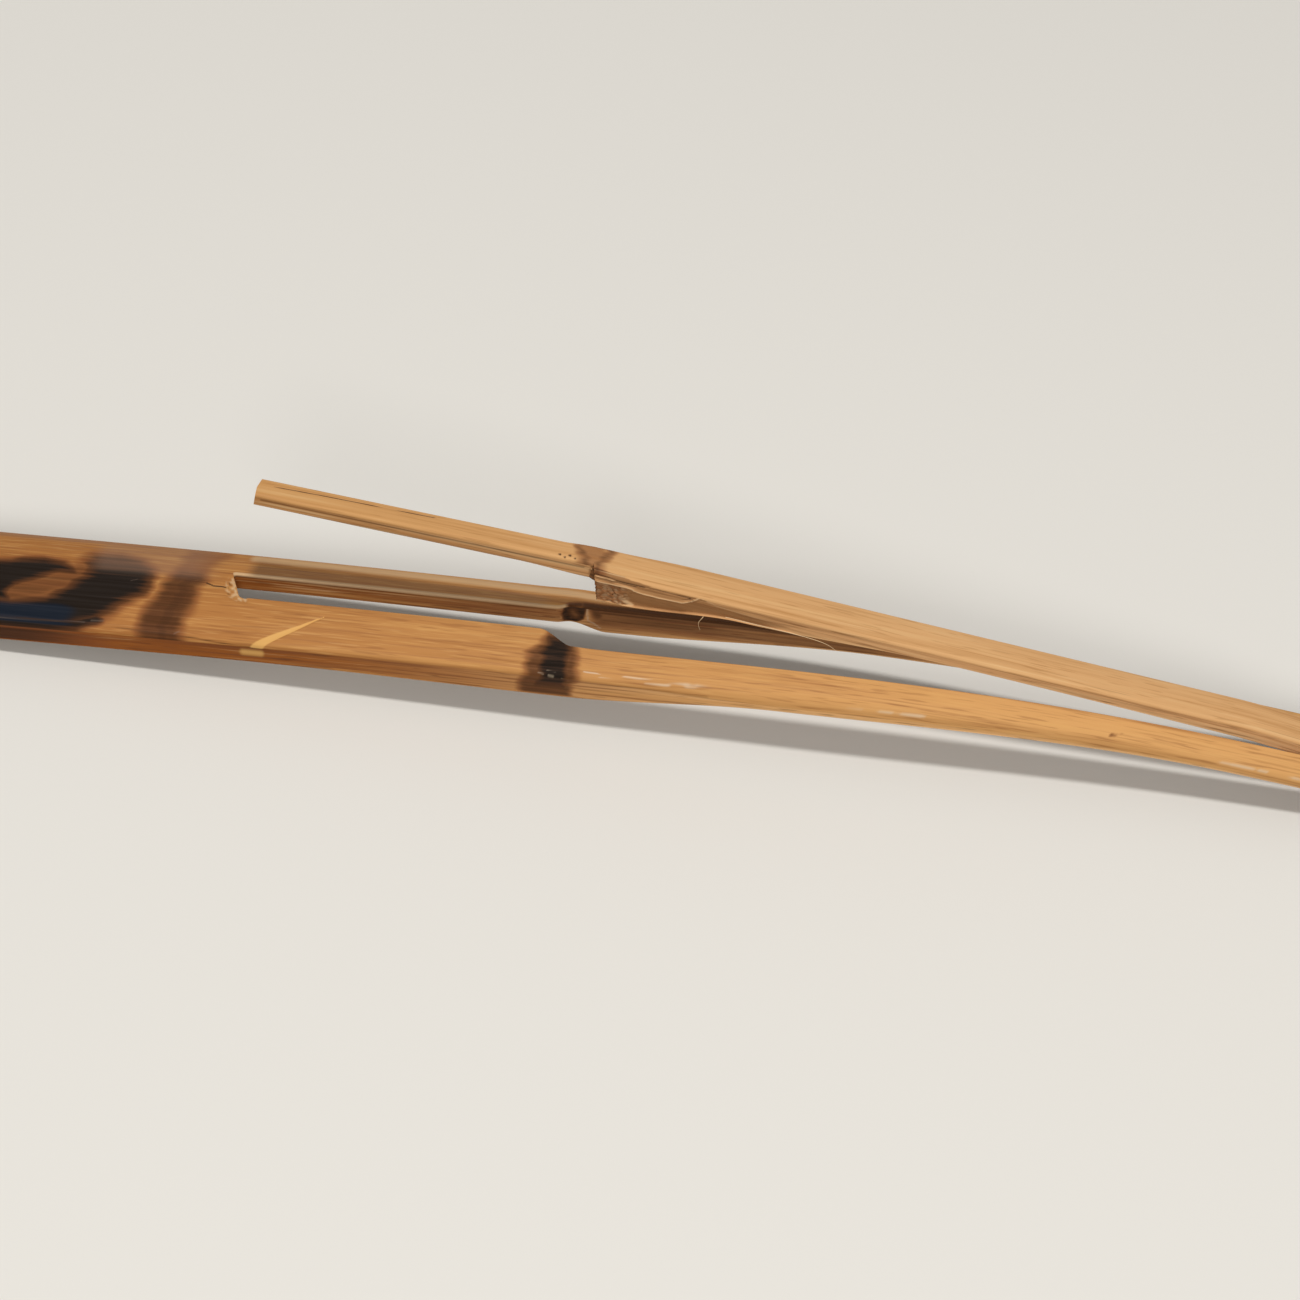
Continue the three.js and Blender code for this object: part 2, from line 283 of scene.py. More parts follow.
to_row = Matrix.Rotation(-lean, 3, "Y")
rolled = math.sin(CAMERA_ROLL)
rise, reach = math.sin(CAMERA_ELEVATION), math.cos(CAMERA_ELEVATION)
right = to_row @ Vector((math.cos(CAMERA_ROLL), rolled * rise, rolled * reach))
back = to_row @ Vector((0, -reach, rise))
up = back.cross(right)
pivot = to_row @ Vector((PIVOT_PLACE * MM, 0, 0))
pivot += Vector((cad_low.x, 0, GRIP_FOOT_DEPTH * math.cos(lean) * MM))

camera_data = bpy.data.cameras.new("camera")
camera_data.sensor_width = SENSOR
camera_data.lens = PIXELS_PER_MM * CAMERA_DISTANCE * SENSOR / PICTURE_PIXELS
camera_data.shift_x = 0.5 - pivot_pixel[0] / PICTURE_PIXELS
camera_data.shift_y = pivot_pixel[1] / PICTURE_PIXELS - 0.5
camera_data.clip_start = 0.01
camera = bpy.data.objects.new("camera", camera_data)
scene.collection.objects.link(camera)
axes = Matrix((right, up, back)).transposed()
camera.matrix_world = Matrix.Translation(pivot + back * CAMERA_DISTANCE * MM) @ axes.to_4x4()
scene.camera = camera
print(f"camera: lens {camera_data.lens:.1f} mm, shift {camera_data.shift_x:.3f}, {camera_data.shift_y:.3f}")

# %% [markdown]
# The skin is part of a circle, because it is the outside of the culm, and it swells into a low ring at the
# joint. Underneath, the wood is scraped hollow and planed to a flat land along each edge. Soft noise,
# stretched along the fibres, serves all of the knife work.
# %% Skin and underside
CULM_RADIUS = 14.9
JOINT_SPAN = 7
RIDGE_HEIGHT = 0.12
GROOVE_DEPTH = 0.03


def ridge(s):
    share = np.clip(np.abs(s - joint_place) / (JOINT_SPAN / 2), 0, 1)
    swell = RIDGE_HEIGHT * (1 + np.cos(np.pi * share)) / 2
    return swell - GROOVE_DEPTH * wave(joint_place - 0.2, 0.8, s)


def skin_height(s, y):
    return ridge(s) - CULM_RADIUS + np.sqrt(CULM_RADIUS**2 - y**2)


def underside_height(s, y):
    land_edge = np.where(y < 0, near_half(s), far_half(s)) - LAND_WIDTH
    share = np.minimum(np.abs(y) / land_edge, 1)
    return -(hollow_depth(s) + (land_depth(s) - hollow_depth(s)) * share**2)


def grain(s, y, n, along, across, shift=0):
    """Smooth noise from -1 to 1 in long strands: along and across are the strand's size in mm."""
    points = np.stack(np.broadcast_arrays(s / along + shift, y / across, n / across), axis=-1)
    values = [noise.noise(p) for p in points.reshape(-1, 3).tolist()]
    return np.array(values).reshape(points.shape[:-1])


def raised_grain(*strand):
    return grain(*strand) * 0.5 + 0.5


print(f"the joint stands {float(ridge(joint_place + 0.6)):.2f} mm high")

# %% [markdown]
# A piece of the strip is a row of rings. Each ring runs over the top to the far edge, down the far wall, back
# along the underside and up the near wall. The rings lie closer together where the knife and the iron did
# fine work: in the ornament, at the slot's end and at the joint.
# %% Places of the rings
ROW_STEP = 0.45
FINE_STEP = 0.2
EDGE_STEP = 0.07
fine_stretches = ((36, 80), (101, 136))
edge_stretches = ((0, 0.42), (strip_end - 0.56, strip_end), (slot_start - 0.5, slot_start + 0.5))


def ring_places(start, end):
    places = [start]
    while places[-1] < end:
        step = ROW_STEP
        if any(low <= places[-1] + 1e-6 < high for low, high in fine_stretches):
            step = FINE_STEP
        if any(low <= places[-1] + 1e-6 < high for low, high in edge_stretches):
            step = EDGE_STEP
        following = places[-1] + step
        places.append(end if end - following < step / 2 else following)
    return np.array(places)


print(f"{len(ring_places(0, strip_end))} rings for the whole strip")

# %% [markdown]
# All rings are made at once with arrays. Their upper corners are rounded, since a hard edge on bamboo would
# cut the player's lips. Each column knows its side, top, wall or underside, for the finishes later.
# %% The points of a ring
TOP, FAR_WALL, UNDER, NEAR_WALL, CAP = range(5)
CORNER_SHARES = np.array([0, 0.08, 0.22, 0.42, 0.68, 1])
UNDER_ROUND = 0.12


def across_places(near, far, near_round, far_round, count):
    low, high = near + near_round, far - far_round
    parts = [
        near + near_round * CORNER_SHARES,
        low + (high - low) * np.linspace(0, 1, count)[1:-1],
        far - far_round * CORNER_SHARES[::-1],
    ]
    return np.concatenate(parts, axis=1)


def rings(s, near, far, top_at, under_at, near_round, far_round, walls, column):
    """The y and n of every ring's points, the number of columns on top, and each column's side."""
    count = max(int(np.max(far - near) / column), 4)
    s, near, far, near_round, far_round = (
        np.broadcast_to(v, s.shape)[:, None] for v in (s, near, far, near_round, far_round)
    )
    y_top = across_places(near, far, near_round, far_round, count)
    n_top = top_at(s, y_top) - rounding(y_top - near, near_round) - rounding(far - y_top, far_round)
    small = np.full_like(near, UNDER_ROUND)
    y_under = across_places(near, far, small, small, count)
    n_under = under_at(s, y_under) + rounding(y_under - near, small) + rounding(far - y_under, small)
    share = np.arange(1, walls + 1) / (walls + 1)

    def closed(top, under):
        far_wall = top[:, -1:] + (under[:, -1:] - top[:, -1:]) * share
        near_wall = under[:, :1] + (top[:, :1] - under[:, :1]) * share
        return np.concatenate([top, far_wall, under[:, ::-1], near_wall], axis=1)

    width = y_top.shape[1]
    sides = np.repeat([TOP, FAR_WALL, UNDER, NEAR_WALL], [width, walls] * 2)
    return closed(y_top, y_under), closed(n_top, n_under), width, sides


print(f"a rounded corner has {len(CORNER_SHARES)} points")

# %% [markdown]
# Each end is closed with a grid of points, so that it can be as rough as sawn or torn bamboo is. The grid
# shares its border with the last ring, and so the piece stays closed.
# %% The ends
def cap_points(ring, width, walls):
    top = ring[:width]
    under = ring[width + walls : 2 * width + walls][::-1]
    share = (np.arange(1, walls + 1) / (walls + 1))[:, None, None]
    return top[None, 1:-1] * (1 - share) + under[None, 1:-1] * share


def quads(column, following):
    corners = (column[:-1], column[1:], following[1:], following[:-1])
    return np.stack([c.ravel() for c in corners], axis=-1)


def cap_faces(first, inner_first, width, walls):
    total = 2 * (width + walls)
    index = np.zeros((walls + 2, width), int)
    index[0] = first + np.arange(width)
    index[-1] = first + width + walls + np.arange(width)[::-1]
    index[1:-1, -1] = first + width + np.arange(walls)
    index[1:-1, 0] = first + total - 1 - np.arange(walls)
    index[1:-1, 1:-1] = inner_first + np.arange(walls * (width - 2)).reshape(walls, width - 2)
    return quads(index[:, :-1], index[:, 1:])


def ring_faces(rows, columns):
    index = np.arange(rows * columns).reshape(rows, columns)
    return quads(index, np.roll(index, -1, axis=1))


print(f"an end of 20 by 14 columns has {len(cap_faces(0, 68, 20, 14))} faces")

# %% [markdown]
# Marks are drawn in mm, as strokes with a half width or as patches with an outline. Each gives 1 inside and
# 0 outside, with a border as soft as the real mark has.
# %% Strokes and patches
def distance_to(points, s, y):
    nearest = np.full(np.shape(s), 1e9)
    for (s0, y0), (s1, y1) in zip(points[:-1], points[1:]):
        length = (s1 - s0) ** 2 + (y1 - y0) ** 2
        share = np.clip(((s - s0) * (s1 - s0) + (y - y0) * (y1 - y0)) / length, 0, 1)
        nearest = np.minimum(nearest, np.hypot(s - s0 - share * (s1 - s0), y - y0 - share * (y1 - y0)))
    return nearest


def stroke(s, y, points, half, soft):
    return fade(half - soft, half + soft, distance_to(points, s, y))


def strongest(*marks):
    return np.max(marks, axis=0)


def strokes(s, y, drawn):
    return strongest(*(stroke(s, y, *one) for one in drawn))


def patch(s, y, outline, soft):
    within = np.zeros(np.shape(s), bool)
    for (s0, y0), (s1, y1) in zip(outline, outline[1:] + outline[:1]):
        crosses = (y0 > y) != (y1 > y)
        within ^= crosses & (s < s0 + (y - y0) * (s1 - s0) / (y1 - y0 + 1e-9))
    away = distance_to(outline + outline[:1], s, y)
    return smooth(-soft, soft, np.where(within, away, -away))


inside = stroke(np.float64(1), np.float64(0), ((0, 0), (2, 0)), 1, 0.2)
print(f"a point in the middle of a stroke gets {float(inside):.0f}")

# %% [markdown]
# The burnt ornament is traditional on such harps: a glowing iron is held to the skin and drawn along it. It
# is an arch over a light eye, in a broad dark field with a darker near edge, and a slanted stripe. Heat runs
# further along some fibres than along others, so the borders are shifted strand by strand. The grip's left
# half lies outside the photograph, so the ornament is mirrored there.
# %% Scorched ornament of the grip
MIRROR_PLACE = 36.5
FEATHER = 0.3
FIELD_LEVEL = 1.1
EYE_LEVEL = 0.42
STRIPE_LEVEL = 0.54
STRIPE_CORE_LEVEL = 0.6
# The field and the stripe are painted lighter towards the far side, a painted sheen.
field_sheen_fade = (-0.9, 2.2)
stripe_sheen_fade = (0.2, 3.2)

arch = (
    (33, 0.4), (38.6, 1), (39.9, 1.5), (42.4, 1.85), (44.7, 1.4), (46.1, 0.4), (46.7, -0.2),
    (44.8, -0.15), (43.1, -1), (41.4, -1.9), (39.7, -2.7), (39, -3.8), (39.4, -4.9), (33, -4.9),
)
dark_field = (
    (33, -4.5), (39.6, -4.75), (43.7, -4), (45.3, -2.9), (46.7, -1.6), (47.7, -0.4), (47.3, 1),
    (47, 2.4), (48, 3.8), (51.4, 4.1), (54, 3.3), (55.8, 1.8), (55.7, -0.2), (54.9, -2.4), (52.6, -4),
    (51.3, -5.2), (50, -6.3), (46, -7.2), (33, -7.35),
)
field_edge = (((33, -7.05), (44.5, -7.05), (48.2, -6.75), (50.4, -6.15)), 0.6, 0.6)
brown_eye = (((38.5, -3.9), (42, -2.9), (45, -1.4), (47, 0)), 1.8, 1.2)
stripe = (
    (58.7, 6.8), (58.5, 4), (57.9, 1), (57.3, -0.3), (56.1, -3), (55.3, -5.7), (54.9, -7.2),
    (54.8, -9), (60.9, -9), (60.6, -6.7), (60.5, -5.2), (61.5, -2.6), (62.1, 0.2), (62.7, 1.6),
    (64.3, 5), (64.6, 6.8),
)
stripe_core = (((60.1, 0.2), (59.5, -2.3), (58.4, -4.8), (58, -7.4)), 1.2, 1)
# Painted glints: thin light lines that stand in for reflections on the ornament.
grip_glints = (
    (((38, -6.85), (44.2, -6.75), (48.9, -6.55)), 0.06, 0.1),
    (((49.6, -6.3), (51.1, -6.2)), 0.09, 0.1),
    (((53.3, -0.65), (54, -0.3)), 0.05, 0.08),
    (((57.2, 1.6), (58.4, 1.4)), 0.05, 0.08),
    (((59.6, -6.9), (60.2, -6.6)), 0.08, 0.08),
)


def feathered(s, y):
    long_strands = grain(s, y, 0, 9, 0.34, 4)
    return s + FEATHER * long_strands + 2.2 * FEATHER * grain(s, y, 0, 3.2, 1.3, 8)


def grip_scorch(s, y):
    s = feathered(np.where(s < MIRROR_PLACE, 2 * MIRROR_PLACE - s, s), y)
    return strongest(
        FIELD_LEVEL * patch(s, y, dark_field, 1.7) * (1 - 0.46 * smooth(*field_sheen_fade, y)),
        FIELD_LEVEL * patch(s, y, arch, 1.35),
        stroke(s, y, *field_edge),
        EYE_LEVEL * stroke(s, y, *brown_eye),
        (STRIPE_LEVEL - 0.28 * smooth(*stripe_sheen_fade, y)) * patch(s, y, stripe, 1.3),
        STRIPE_CORE_LEVEL * stroke(s, y, *stripe_core),
    )


middle = grip_scorch(np.array([52.0, 42.0]), np.array([-1.0, -3.0]))
print(f"scorch {middle[0]:.2f} in the field and {middle[1]:.2f} in the eye")

# %% [markdown]
# At the culm's joint the skin was scorched too, with a few small painted glints on the char, and the tongue
# shows two soft slanted marks there. On the inner wall of the far arm the joint is a dark oval with a painted
# highlight line beside it.
# %% Scorch at the joint
near_joint_burn = (
    (104.2, -2), (102.8, -3.7), (101.9, -5.2), (101.4, -6.6), (101.3, -9.5), (107.6, -9.5), (108.1, -6.8),
    (108, -5.2), (107.6, -4), (106.6, -2.4),
)
near_joint_core = ((104.3, -2.3), (103.3, -4.4), (102.9, -8.5), (106.9, -8.5), (107, -4), (106.1, -2.5))
joint_glints = (
    (((103.2, -7), (103.9, -7.1)), 0.07, 0.08),
    (((104.3, -6.75), (105.3, -6.85)), 0.06, 0.08),
    (((104.5, -7.15), (105.2, -7.2)), 0.08, 0.08),
    (((106.1, -7.3), (106.8, -7.35)), 0.08, 0.08),
)
far_joint_top = (((106.3, 2.9), (107.4, 3.1)), 0.5, 0.5)
far_joint_oval = (
    (105.3, -1.5), (105.5, -0.2), (106.2, 0.5), (107.8, 0.5), (108.2, -0.6), (108, -2.4), (107, -3.1),
    (105.6, -2.8),
)
oval_core = (((106.6, -1.3), (107, -1.9)), 0.5, 0.5)
far_joint_olive = (((109.3, -0.4), (109.7, -1.6)), 0.8, 0.6)
# A painted highlight line beside the oval.
far_joint_glint_line = (
    ((108.35, -0.3), (108.4, -1.7), (108.6, -2.6), (109.2, -2.9), (110.2, -3.8)), 0.12, 0.12,
)
tongue_joint_marks = (
    (((105.2, 1), (105.8, -0.2), (106.3, -1.4)), 0.7, 0.7),
    (((109.2, 2), (108.2, 0.4), (107.5, -0.8), (107.2, -2.2)), 0.55, 0.65),
)


def near_joint_scorch(s, y):
    s = feathered(s, y) + 0.8 * FEATHER * grain(s, y, 0, 5, 0.3, 12)
    outer = 0.52 * patch(s, y, near_joint_burn, 0.8)
    return np.maximum(outer, 0.95 * patch(s, y, near_joint_core, 1))


print(f"burnt over {near_joint_burn[6][0] - near_joint_burn[3][0]:.1f} mm at the near arm")

# %% [markdown]
# Knife work is done in geometry, so that it shows from every side. The walls have long ridges where the
# split followed the fibres, a nick runs over the near arm, and the sawn end of the slot is crumbly. Each
# point also gets marks, from 0 to 1, which the finishes turn into colour.
# %% Cuts and streaks of the frame
MARKS = ("scorch", "soot", "haze", "pale", "crack", "torn", "bleach", "gloss")
RIDGE_LENGTH = 38
RIDGE_WIDTH = 0.7
WALL_RIDGES = 0.07
SKIN_WAVES = 0.02
NICK_DEPTH = 0.13
NICK_GROWTH = 6
CRACK_DEPTH = 0.12
CRUMBLE_DEPTH = 0.24

nick_line = ((77, -3.17), (74.4, -4.7), (72.2, -5.85), (70, -7), (69, -7.6))
crease = (
    (((62.4, 0.2), (63.2, -0.15), (64.7, -0.15)), 0.1, 0.1, 1),
    (((52, 0.45), (56.7, 0.42), (62.4, 0.25)), 0.06, 0.1, 0.55),
)
crumble = (
    (64.7, -1.6), (64.5, -0.4), (64.8, 0.7), (65.4, 1.7), (66.3, 1.6), (66.9, -0.8), (67.1, -2.2),
    (65.6, -2.2),
)
sawn_rim = (((65.75, -1.5), (65.75, 1.3)), 0.14, 0.14)
# A painted sheen along the far edge of the far arm.
far_edge_sheen = (((67.5, 6), (95, 5.8), (104, 5.6), (112, 5)), 0.9, 0.6)
near_spot = (((173.2, -5.4), (174.5, -5.15)), 0.13, 0.12)
# Painted glints in short streaks along the near arris.
arris_glints = (
    (((108.6, 0.75), (114.5, 0.72), (121, 0.6), (127.5, 0.5)), 0.07, 0.1),
    (((110.5, 0.3), (118, 0.2), (131, 0.1)), 0.06, 0.09),
    (((130.2, -0.35), (132.9, -0.4)), 0.13, 0.12),
    (((133.6, -0.4), (135.9, -0.42)), 0.15, 0.12),
    (((136.5, 0), (150, -0.2)), 0.1, 0.12),
    (((187, -0.3), (198.5, -0.35)), 0.2, 0.14),
)
# A painted shade line along the near arris, where the top turns into the wall.
arris_shade_line = (
    ((36, 0.7), (50.1, 0.6), (60, 0.25), (66, -0.3), (72, -0.72), (84, -0.75)), 0.1, 0.13,
)
inner_grooves = (
    (((66, -0.62), (104.5, -0.72)), 0.14, 0.14),
    (((66, -1.95), (104.5, -2.1)), 0.07, 0.1),
)


def nick(s, y):
    half = 0.05 + 0.055 * np.clip(nick_line[0][0] - s, 0, NICK_GROWTH)
    return fade(half * 0.6, half * 1.4, distance_to(nick_line, s, y))


print(f"the nick is {NICK_DEPTH} mm deep, {nick_line[0][0] - tip_place:.1f} mm from the tongue's tip")

# %% [markdown]
# The iron's heat runs over the near arris onto the wall, which is only browned there and smoked below. The
# inner wall of the far arm darkens a little towards the joint and is burnt at it. Past the joint it is
# painted dark, a painted shade for the shade under the tongue's wedge, and a painted shadow of the wedge
# darkens the skin beside the slot there.
# %% Scorch and painted shade on the walls
GRIP_MARKS_END = 70
JOINT_SHADE_START = 106
SMOKE_LEVEL = 0.7
smoke_fade = (38, 57)
smoked_depth = (0.3, 1.2)
# Where the far arm's inner wall is painted dark as shade under the tongue's wedge.
wedge_shade_stretch = ((107.5, 110.5), (140, 165))
dim_rise = (84, 100)
# Where a painted shadow of the wedge darkens the skin beside the slot.
wedge_shadow_stretch = ((106.6, 108.2), (128, 150))


def near_wall_scorch(s, burnt, below):
    smoked = SMOKE_LEVEL * fade(*smoke_fade, np.abs(s - MIRROR_PLACE) + MIRROR_PLACE)
    return np.maximum(burnt * (1 - 0.75 * (s < GRIP_MARKS_END)), smoked * smooth(*smoked_depth, below))


def inner_wall_scorch_and_shade(s, y, n, below):
    oval = patch(s, n, far_joint_oval, 0.3) * (0.85 - 0.4 * stroke(s, n, *oval_core))
    # Painted shade under the wedge, carried in the scorch mark.
    wedge_shade = (0.5 - 0.12 * smooth(0.5, 1.2, below) - 0.26 * smooth(2.3, 3.6, below)) * between(s, *wedge_shade_stretch)
    wedge_shade = wedge_shade * (1 + 0.45 * grain(s, y, n, 16, 0.4, 3))
    dim = 0.16 * smooth(*dim_rise, s) * (s < JOINT_SHADE_START)
    return strongest(oval, 0.5 * stroke(s, n, *far_joint_olive), wedge_shade, dim)


def frame_scorch_and_shade(s, y, n, top, outer, inner, below):
    unrolled = np.where(outer, near_edge(s) - 0.5 * below, y)
    burnt = np.where((y < 0) & (top | outer), near_joint_scorch(s, unrolled), 0)
    on_grip = (s < GRIP_MARKS_END) & (top | outer)
    burnt[on_grip] = np.maximum(grip_scorch(s[on_grip], unrolled[on_grip]), burnt[on_grip])
    burnt = np.where(outer, near_wall_scorch(s, burnt, below), burnt)
    # Painted shadow of the wedge on the skin beside the slot.
    wedge_shadow = between(s, *wedge_shadow_stretch) * fade(0.5, 1.5, y - far_slot(s)) * (y > 0)
    return strongest(
        burnt,
        inner * inner_wall_scorch_and_shade(s, y, n, below),
        0.6 * top * stroke(s, y, *far_joint_top),
        0.62 * top * wedge_shadow,
        0.45 * top * stroke(s, y, *near_spot),
    )


print(f"smoked {smoke_fade[0]:.0f} to {smoke_fade[1]:.0f} mm from the sawn end")

# %% [markdown]
# Painted light is marked here too. A painted blue reflection tints the char on the near half of the ornament,
# and a painted sheen lightens its far half and the grip's far edge. The tongue's painted shadow falls on the
# far arm, and a painted sheen runs along the far arm's far edge. The rims of the slot and of the underside
# carry painted rim light, while the crumbs at the slot's sawn end are pale where the fibres were cut. The
# near arris shines in short streaks of painted glints, and dark grooves and cracks follow the fibres, with a
# painted shade line along the near arris and a painted contact shadow under the wedge.
# %% Marks of the frame
FAR_AWAY = 9
# Where a painted blue reflection tints the char of the ornament, near the near edge.
blue_reflection_width = ((-7.3, -6.95), (-5.4, -3.9))
blue_reflection_end = (45, 50)
# Stretches of painted sheen on the grip's far half and of the tongue's painted shadow on the far arm.
sheen_stretch = ((46.5, 50), (59, 67))
sheen_end = (60, 66)
shaded_stretch = ((66.5, 69), (102, 105.5))
old_cut_stretch = ((67, 67.9), (70, 70.8))
groove_end = (76, 86)
SHADOW_LINE_PLACE = 108.8


def mark_frame(s, y, n, side, marks):
    """Fills in the marks and gives those that have a depth too: cut, split, crumbs and their bits."""
    top, near_wall = side == TOP, side == NEAR_WALL
    outer, inner = near_wall & (y < 0), near_wall & (y > 0)
    below = np.maximum(skin_height(s, y) - n, 0)
    above = np.maximum(n - underside_height(s, y), 0)
    around = y - near_edge(s) - below
    at_slot = (top | inner) & (s > slot_start)
    slot_rim = np.where(at_slot, np.abs(y - far_slot_edge(s)) + below, FAR_AWAY)

    marks["scorch"] = frame_scorch_and_shade(s, y, n, top, outer, inner, below)
    on_grip = top & (s < slot_start)
    # Painted blue reflection on the ornament's char.
    blue_reflection = on_grip * between(y, *blue_reflection_width) * fade(*blue_reflection_end, s)
    marks["soot"] = marks["scorch"] * blue_reflection
    # Painted sheen on the grip's far half and far edge, the tongue's painted shadow on the far arm, and
    # painted glints.
    marks["haze"] = strongest(
        0.7 * top * smooth(-0.5, 1.8, y) * between(s, *sheen_stretch),
        0.5 * top * (y > 0) * between(s, *shaded_stretch) * fade(3.9, 4.8, y),
        0.75 * top * smooth(5.3, 6.7, y) * fade(*sheen_end, s),
        0.7 * on_grip * strokes(s, y, grip_glints),
    )

    cut = top * nick(s, y)
    split = top * strongest(*(level * stroke(s, y, *line) for *line, level in crease))
    crumbs = (top | (side == CAP) | inner) * patch(s, y, crumble, 0.3)
    bits = raised_grain(s, y, n, 0.55, 0.5, 7)
    old_cut = outer * between(s, *old_cut_stretch) * wave(-3.4, 1.2, n)
    marks["pale"] = np.maximum(cut, 0.7 * old_cut)
    # Painted rim light on the lower rims of the walls and on the slot's rims, and a painted sheen along the
    # far edge; the crumbs and the sawn rim are pale cut fibre.
    marks["bleach"] = strongest(
        0.75 * (near_wall | (side == FAR_WALL)) * fade(0.12, 0.36, above),
        0.8 * fade(0.3, 0.5, slot_rim) * (s < JOINT_SHADE_START),
        0.7 * crumbs * smooth(0.3, 0.7, bits),
        0.65 * top * stroke(s, y, *far_edge_sheen),
        0.8 * top * stroke(s, y, *sawn_rim) * smooth(-0.5, 0.1, grain(s, y, n, 0.6, 0.5)),
    )
    # Painted glints on the near arris, beside the far joint's oval and on the char at the joint; they also
    # raise the coat.
    marks["gloss"] = strongest(
        strokes(s, around, arris_glints) * smooth(-0.3, 0.05, grain(s, around, 0, 1.8, 0.3, 2)),
        0.75 * inner * stroke(s, n, *far_joint_glint_line),
        0.5 * top * strokes(s, y, joint_glints),
    )
    # Painted shade along the near arris, in the crack mark.
    arris_dark_line = stroke(s, around, *arris_shade_line) * smooth(-0.4, 0, grain(s, 0, 0, 7, 1, 5))
    marks["crack"] = strongest(
        split,
        0.55 * crumbs * fade(0.25, 0.4, bits),
        0.65 * arris_dark_line * fade(*groove_end, s),
        0.5 * inner * strokes(s, n, inner_grooves),
        # Painted contact shadow under the wedge, on the far arm's inner wall.
        0.8 * inner * wave(SHADOW_LINE_PLACE, 3.4, s) * fade(0.2, 0.5, below),
    )
    return cut, split, crumbs, bits


print(f"{len(MARKS)} kinds of mark")

# %% [markdown]
# Where a cut has depth, the points move: down into the nick and the split, down among the crumbs, and in
# between the ridges of the walls. The slot's end was sawn a little aslant, so the points beside it slide.
# %% Knife work on the frame
SLANT = 0.38
SLANT_REACH = 6
slant_fade = (2.6, 6)


def slot_slant(s, y):
    beside_slot = fade(*slant_fade, np.abs(y))
    return -SLANT * y * beside_slot * np.maximum(1 - np.abs(s - slot_start) / SLANT_REACH, 0)


def work_frame(s, y, n, side, marks):
    cut, split, crumbs, bits = mark_frame(s, y, n, side, marks)
    inward = np.select([side == NEAR_WALL, side == FAR_WALL], [1, -1], 0)
    y = y + inward * WALL_RIDGES * raised_grain(s, y, n, RIDGE_LENGTH, RIDGE_WIDTH)
    waves = SKIN_WAVES * raised_grain(s, y, 0, 24, 1.6, 3)
    dents = (side == TOP) * (waves + cut * NICK_DEPTH + split * CRACK_DEPTH)
    return s + slot_slant(s, y), y, n - dents - crumbs * bits * CRUMBLE_DEPTH


print(f"ridges {WALL_RIDGES} mm deep on the walls, waves {SKIN_WAVES} mm on the skin")

# %% [markdown]
# The near side of the tongue's wedge was not cut but torn, when the waste beside the tongue was broken out
# at the joint. Long splinters lie along its top with dark cracks between them. Below them the wood is
# hollowed and brown, with a thin light edge at the bottom, pale fibre lit by painted rim light, and its left
# end is ragged.
# %% The torn wedge
BLADE_NEAR = -2.2
HOLLOW = 0.36
STREAK_DEPTH = 0.06
GAP_DEPTH = 0.22
RIB_HEIGHT = 0.12
CHIP_DEPTH = 0.45
TORN_END = 134
torn_stretch = ((106.4, 107), (TORN_END - 7, TORN_END))
hollow_rise = (110.5, 112.8)
ragged_end = (110, 113.5)

torn_border = profile(
    (107, 0.7), (110, 0.3), (112, -0.1), (116.3, -0.6), (120.2, -0.35), (122.2, -1.15), (127.9, -1.4),
    (133, -1.15),
)
hollow_border = profile(
    (110, -3), (112.6, -2.15), (118, -2), (119.6, -1.2), (122.4, -1.3), (128, -1.55), (134, -1.2)
)
splinters = (
    (((106.9, 0.2), (108.3, 0.18), (109.6, 0.12), (111.7, 0.08), (112.9, -0.1), (114.5, -0.3)), 0.09, 0.08),
    (((107.1, -0.72), (108.6, -0.7), (109.6, -0.82)), 0.08, 0.08),
    (((107.3, -1.57), (109.5, -1.5), (111.2, -1.42), (112.2, -1.6)), 0.11, 0.09),
    (((112.2, -1.7), (113.3, -1.86), (115.6, -1.9), (118.4, -1.8), (119.2, -1.35), (119.7, -0.8),
      (120.3, -0.15), (121.5, -0.2)), 0.11, 0.09),
)
curls = (
    (((108.2, -2.05), (108.7, -2.3), (108.6, -2.6)), 0.09, 0.1),
    (((109.9, -2.85), (110.6, -3), (111, -3.2)), 0.1, 0.1),
    (((107.9, -3.1), (108.6, -3.3)), 0.07, 0.1),
)
border_light = (((120.3, -0.3), (122.3, -1), (126, -1.36), (128, -1.45), (133, -1.2)), 0.07, 0.08)
foot = (
    (((109.6, -4.2), (110.9, -4.65)), 0.13, 0.1),
    (((110.6, -3.5), (111.8, -4.15), (112.8, -4.6)), 0.3, 0.2),
)
dark_cracks = (
    (((108, 0.8), (109.3, 0.64), (110.8, 0.5)), 0.08, 0.08),
    (((107, 0.5), (108.3, 0.45)), 0.05, 0.07),
    (((107.2, -0.2), (108.5, -0.33), (109.6, -0.5), (111.9, -0.6), (113.5, -0.6)), 0.1, 0.1),
    (((113.9, -0.62), (116.6, -0.8), (119, -0.85)), 0.05, 0.09),
    (((107.2, -1.1), (108.6, -1.15), (110.2, -1.05), (112.5, -1.1)), 0.06, 0.08),
    (((107.2, -1.95), (109, -1.85), (111.5, -2)), 0.07, 0.09),
    (((113.3, -2.35), (115.3, -2.35)), 0.07, 0.08),
    (((116.6, -1.5), (118.2, -1.4), (119.2, -0.95)), 0.06, 0.07),
    (((108.9, -2.3), (109.6, -2.9), (109.4, -3.4)), 0.06, 0.08),
    (((124.6, -1.6), (129, -1.75), (132, -1.5)), 0.05, 0.08),
)

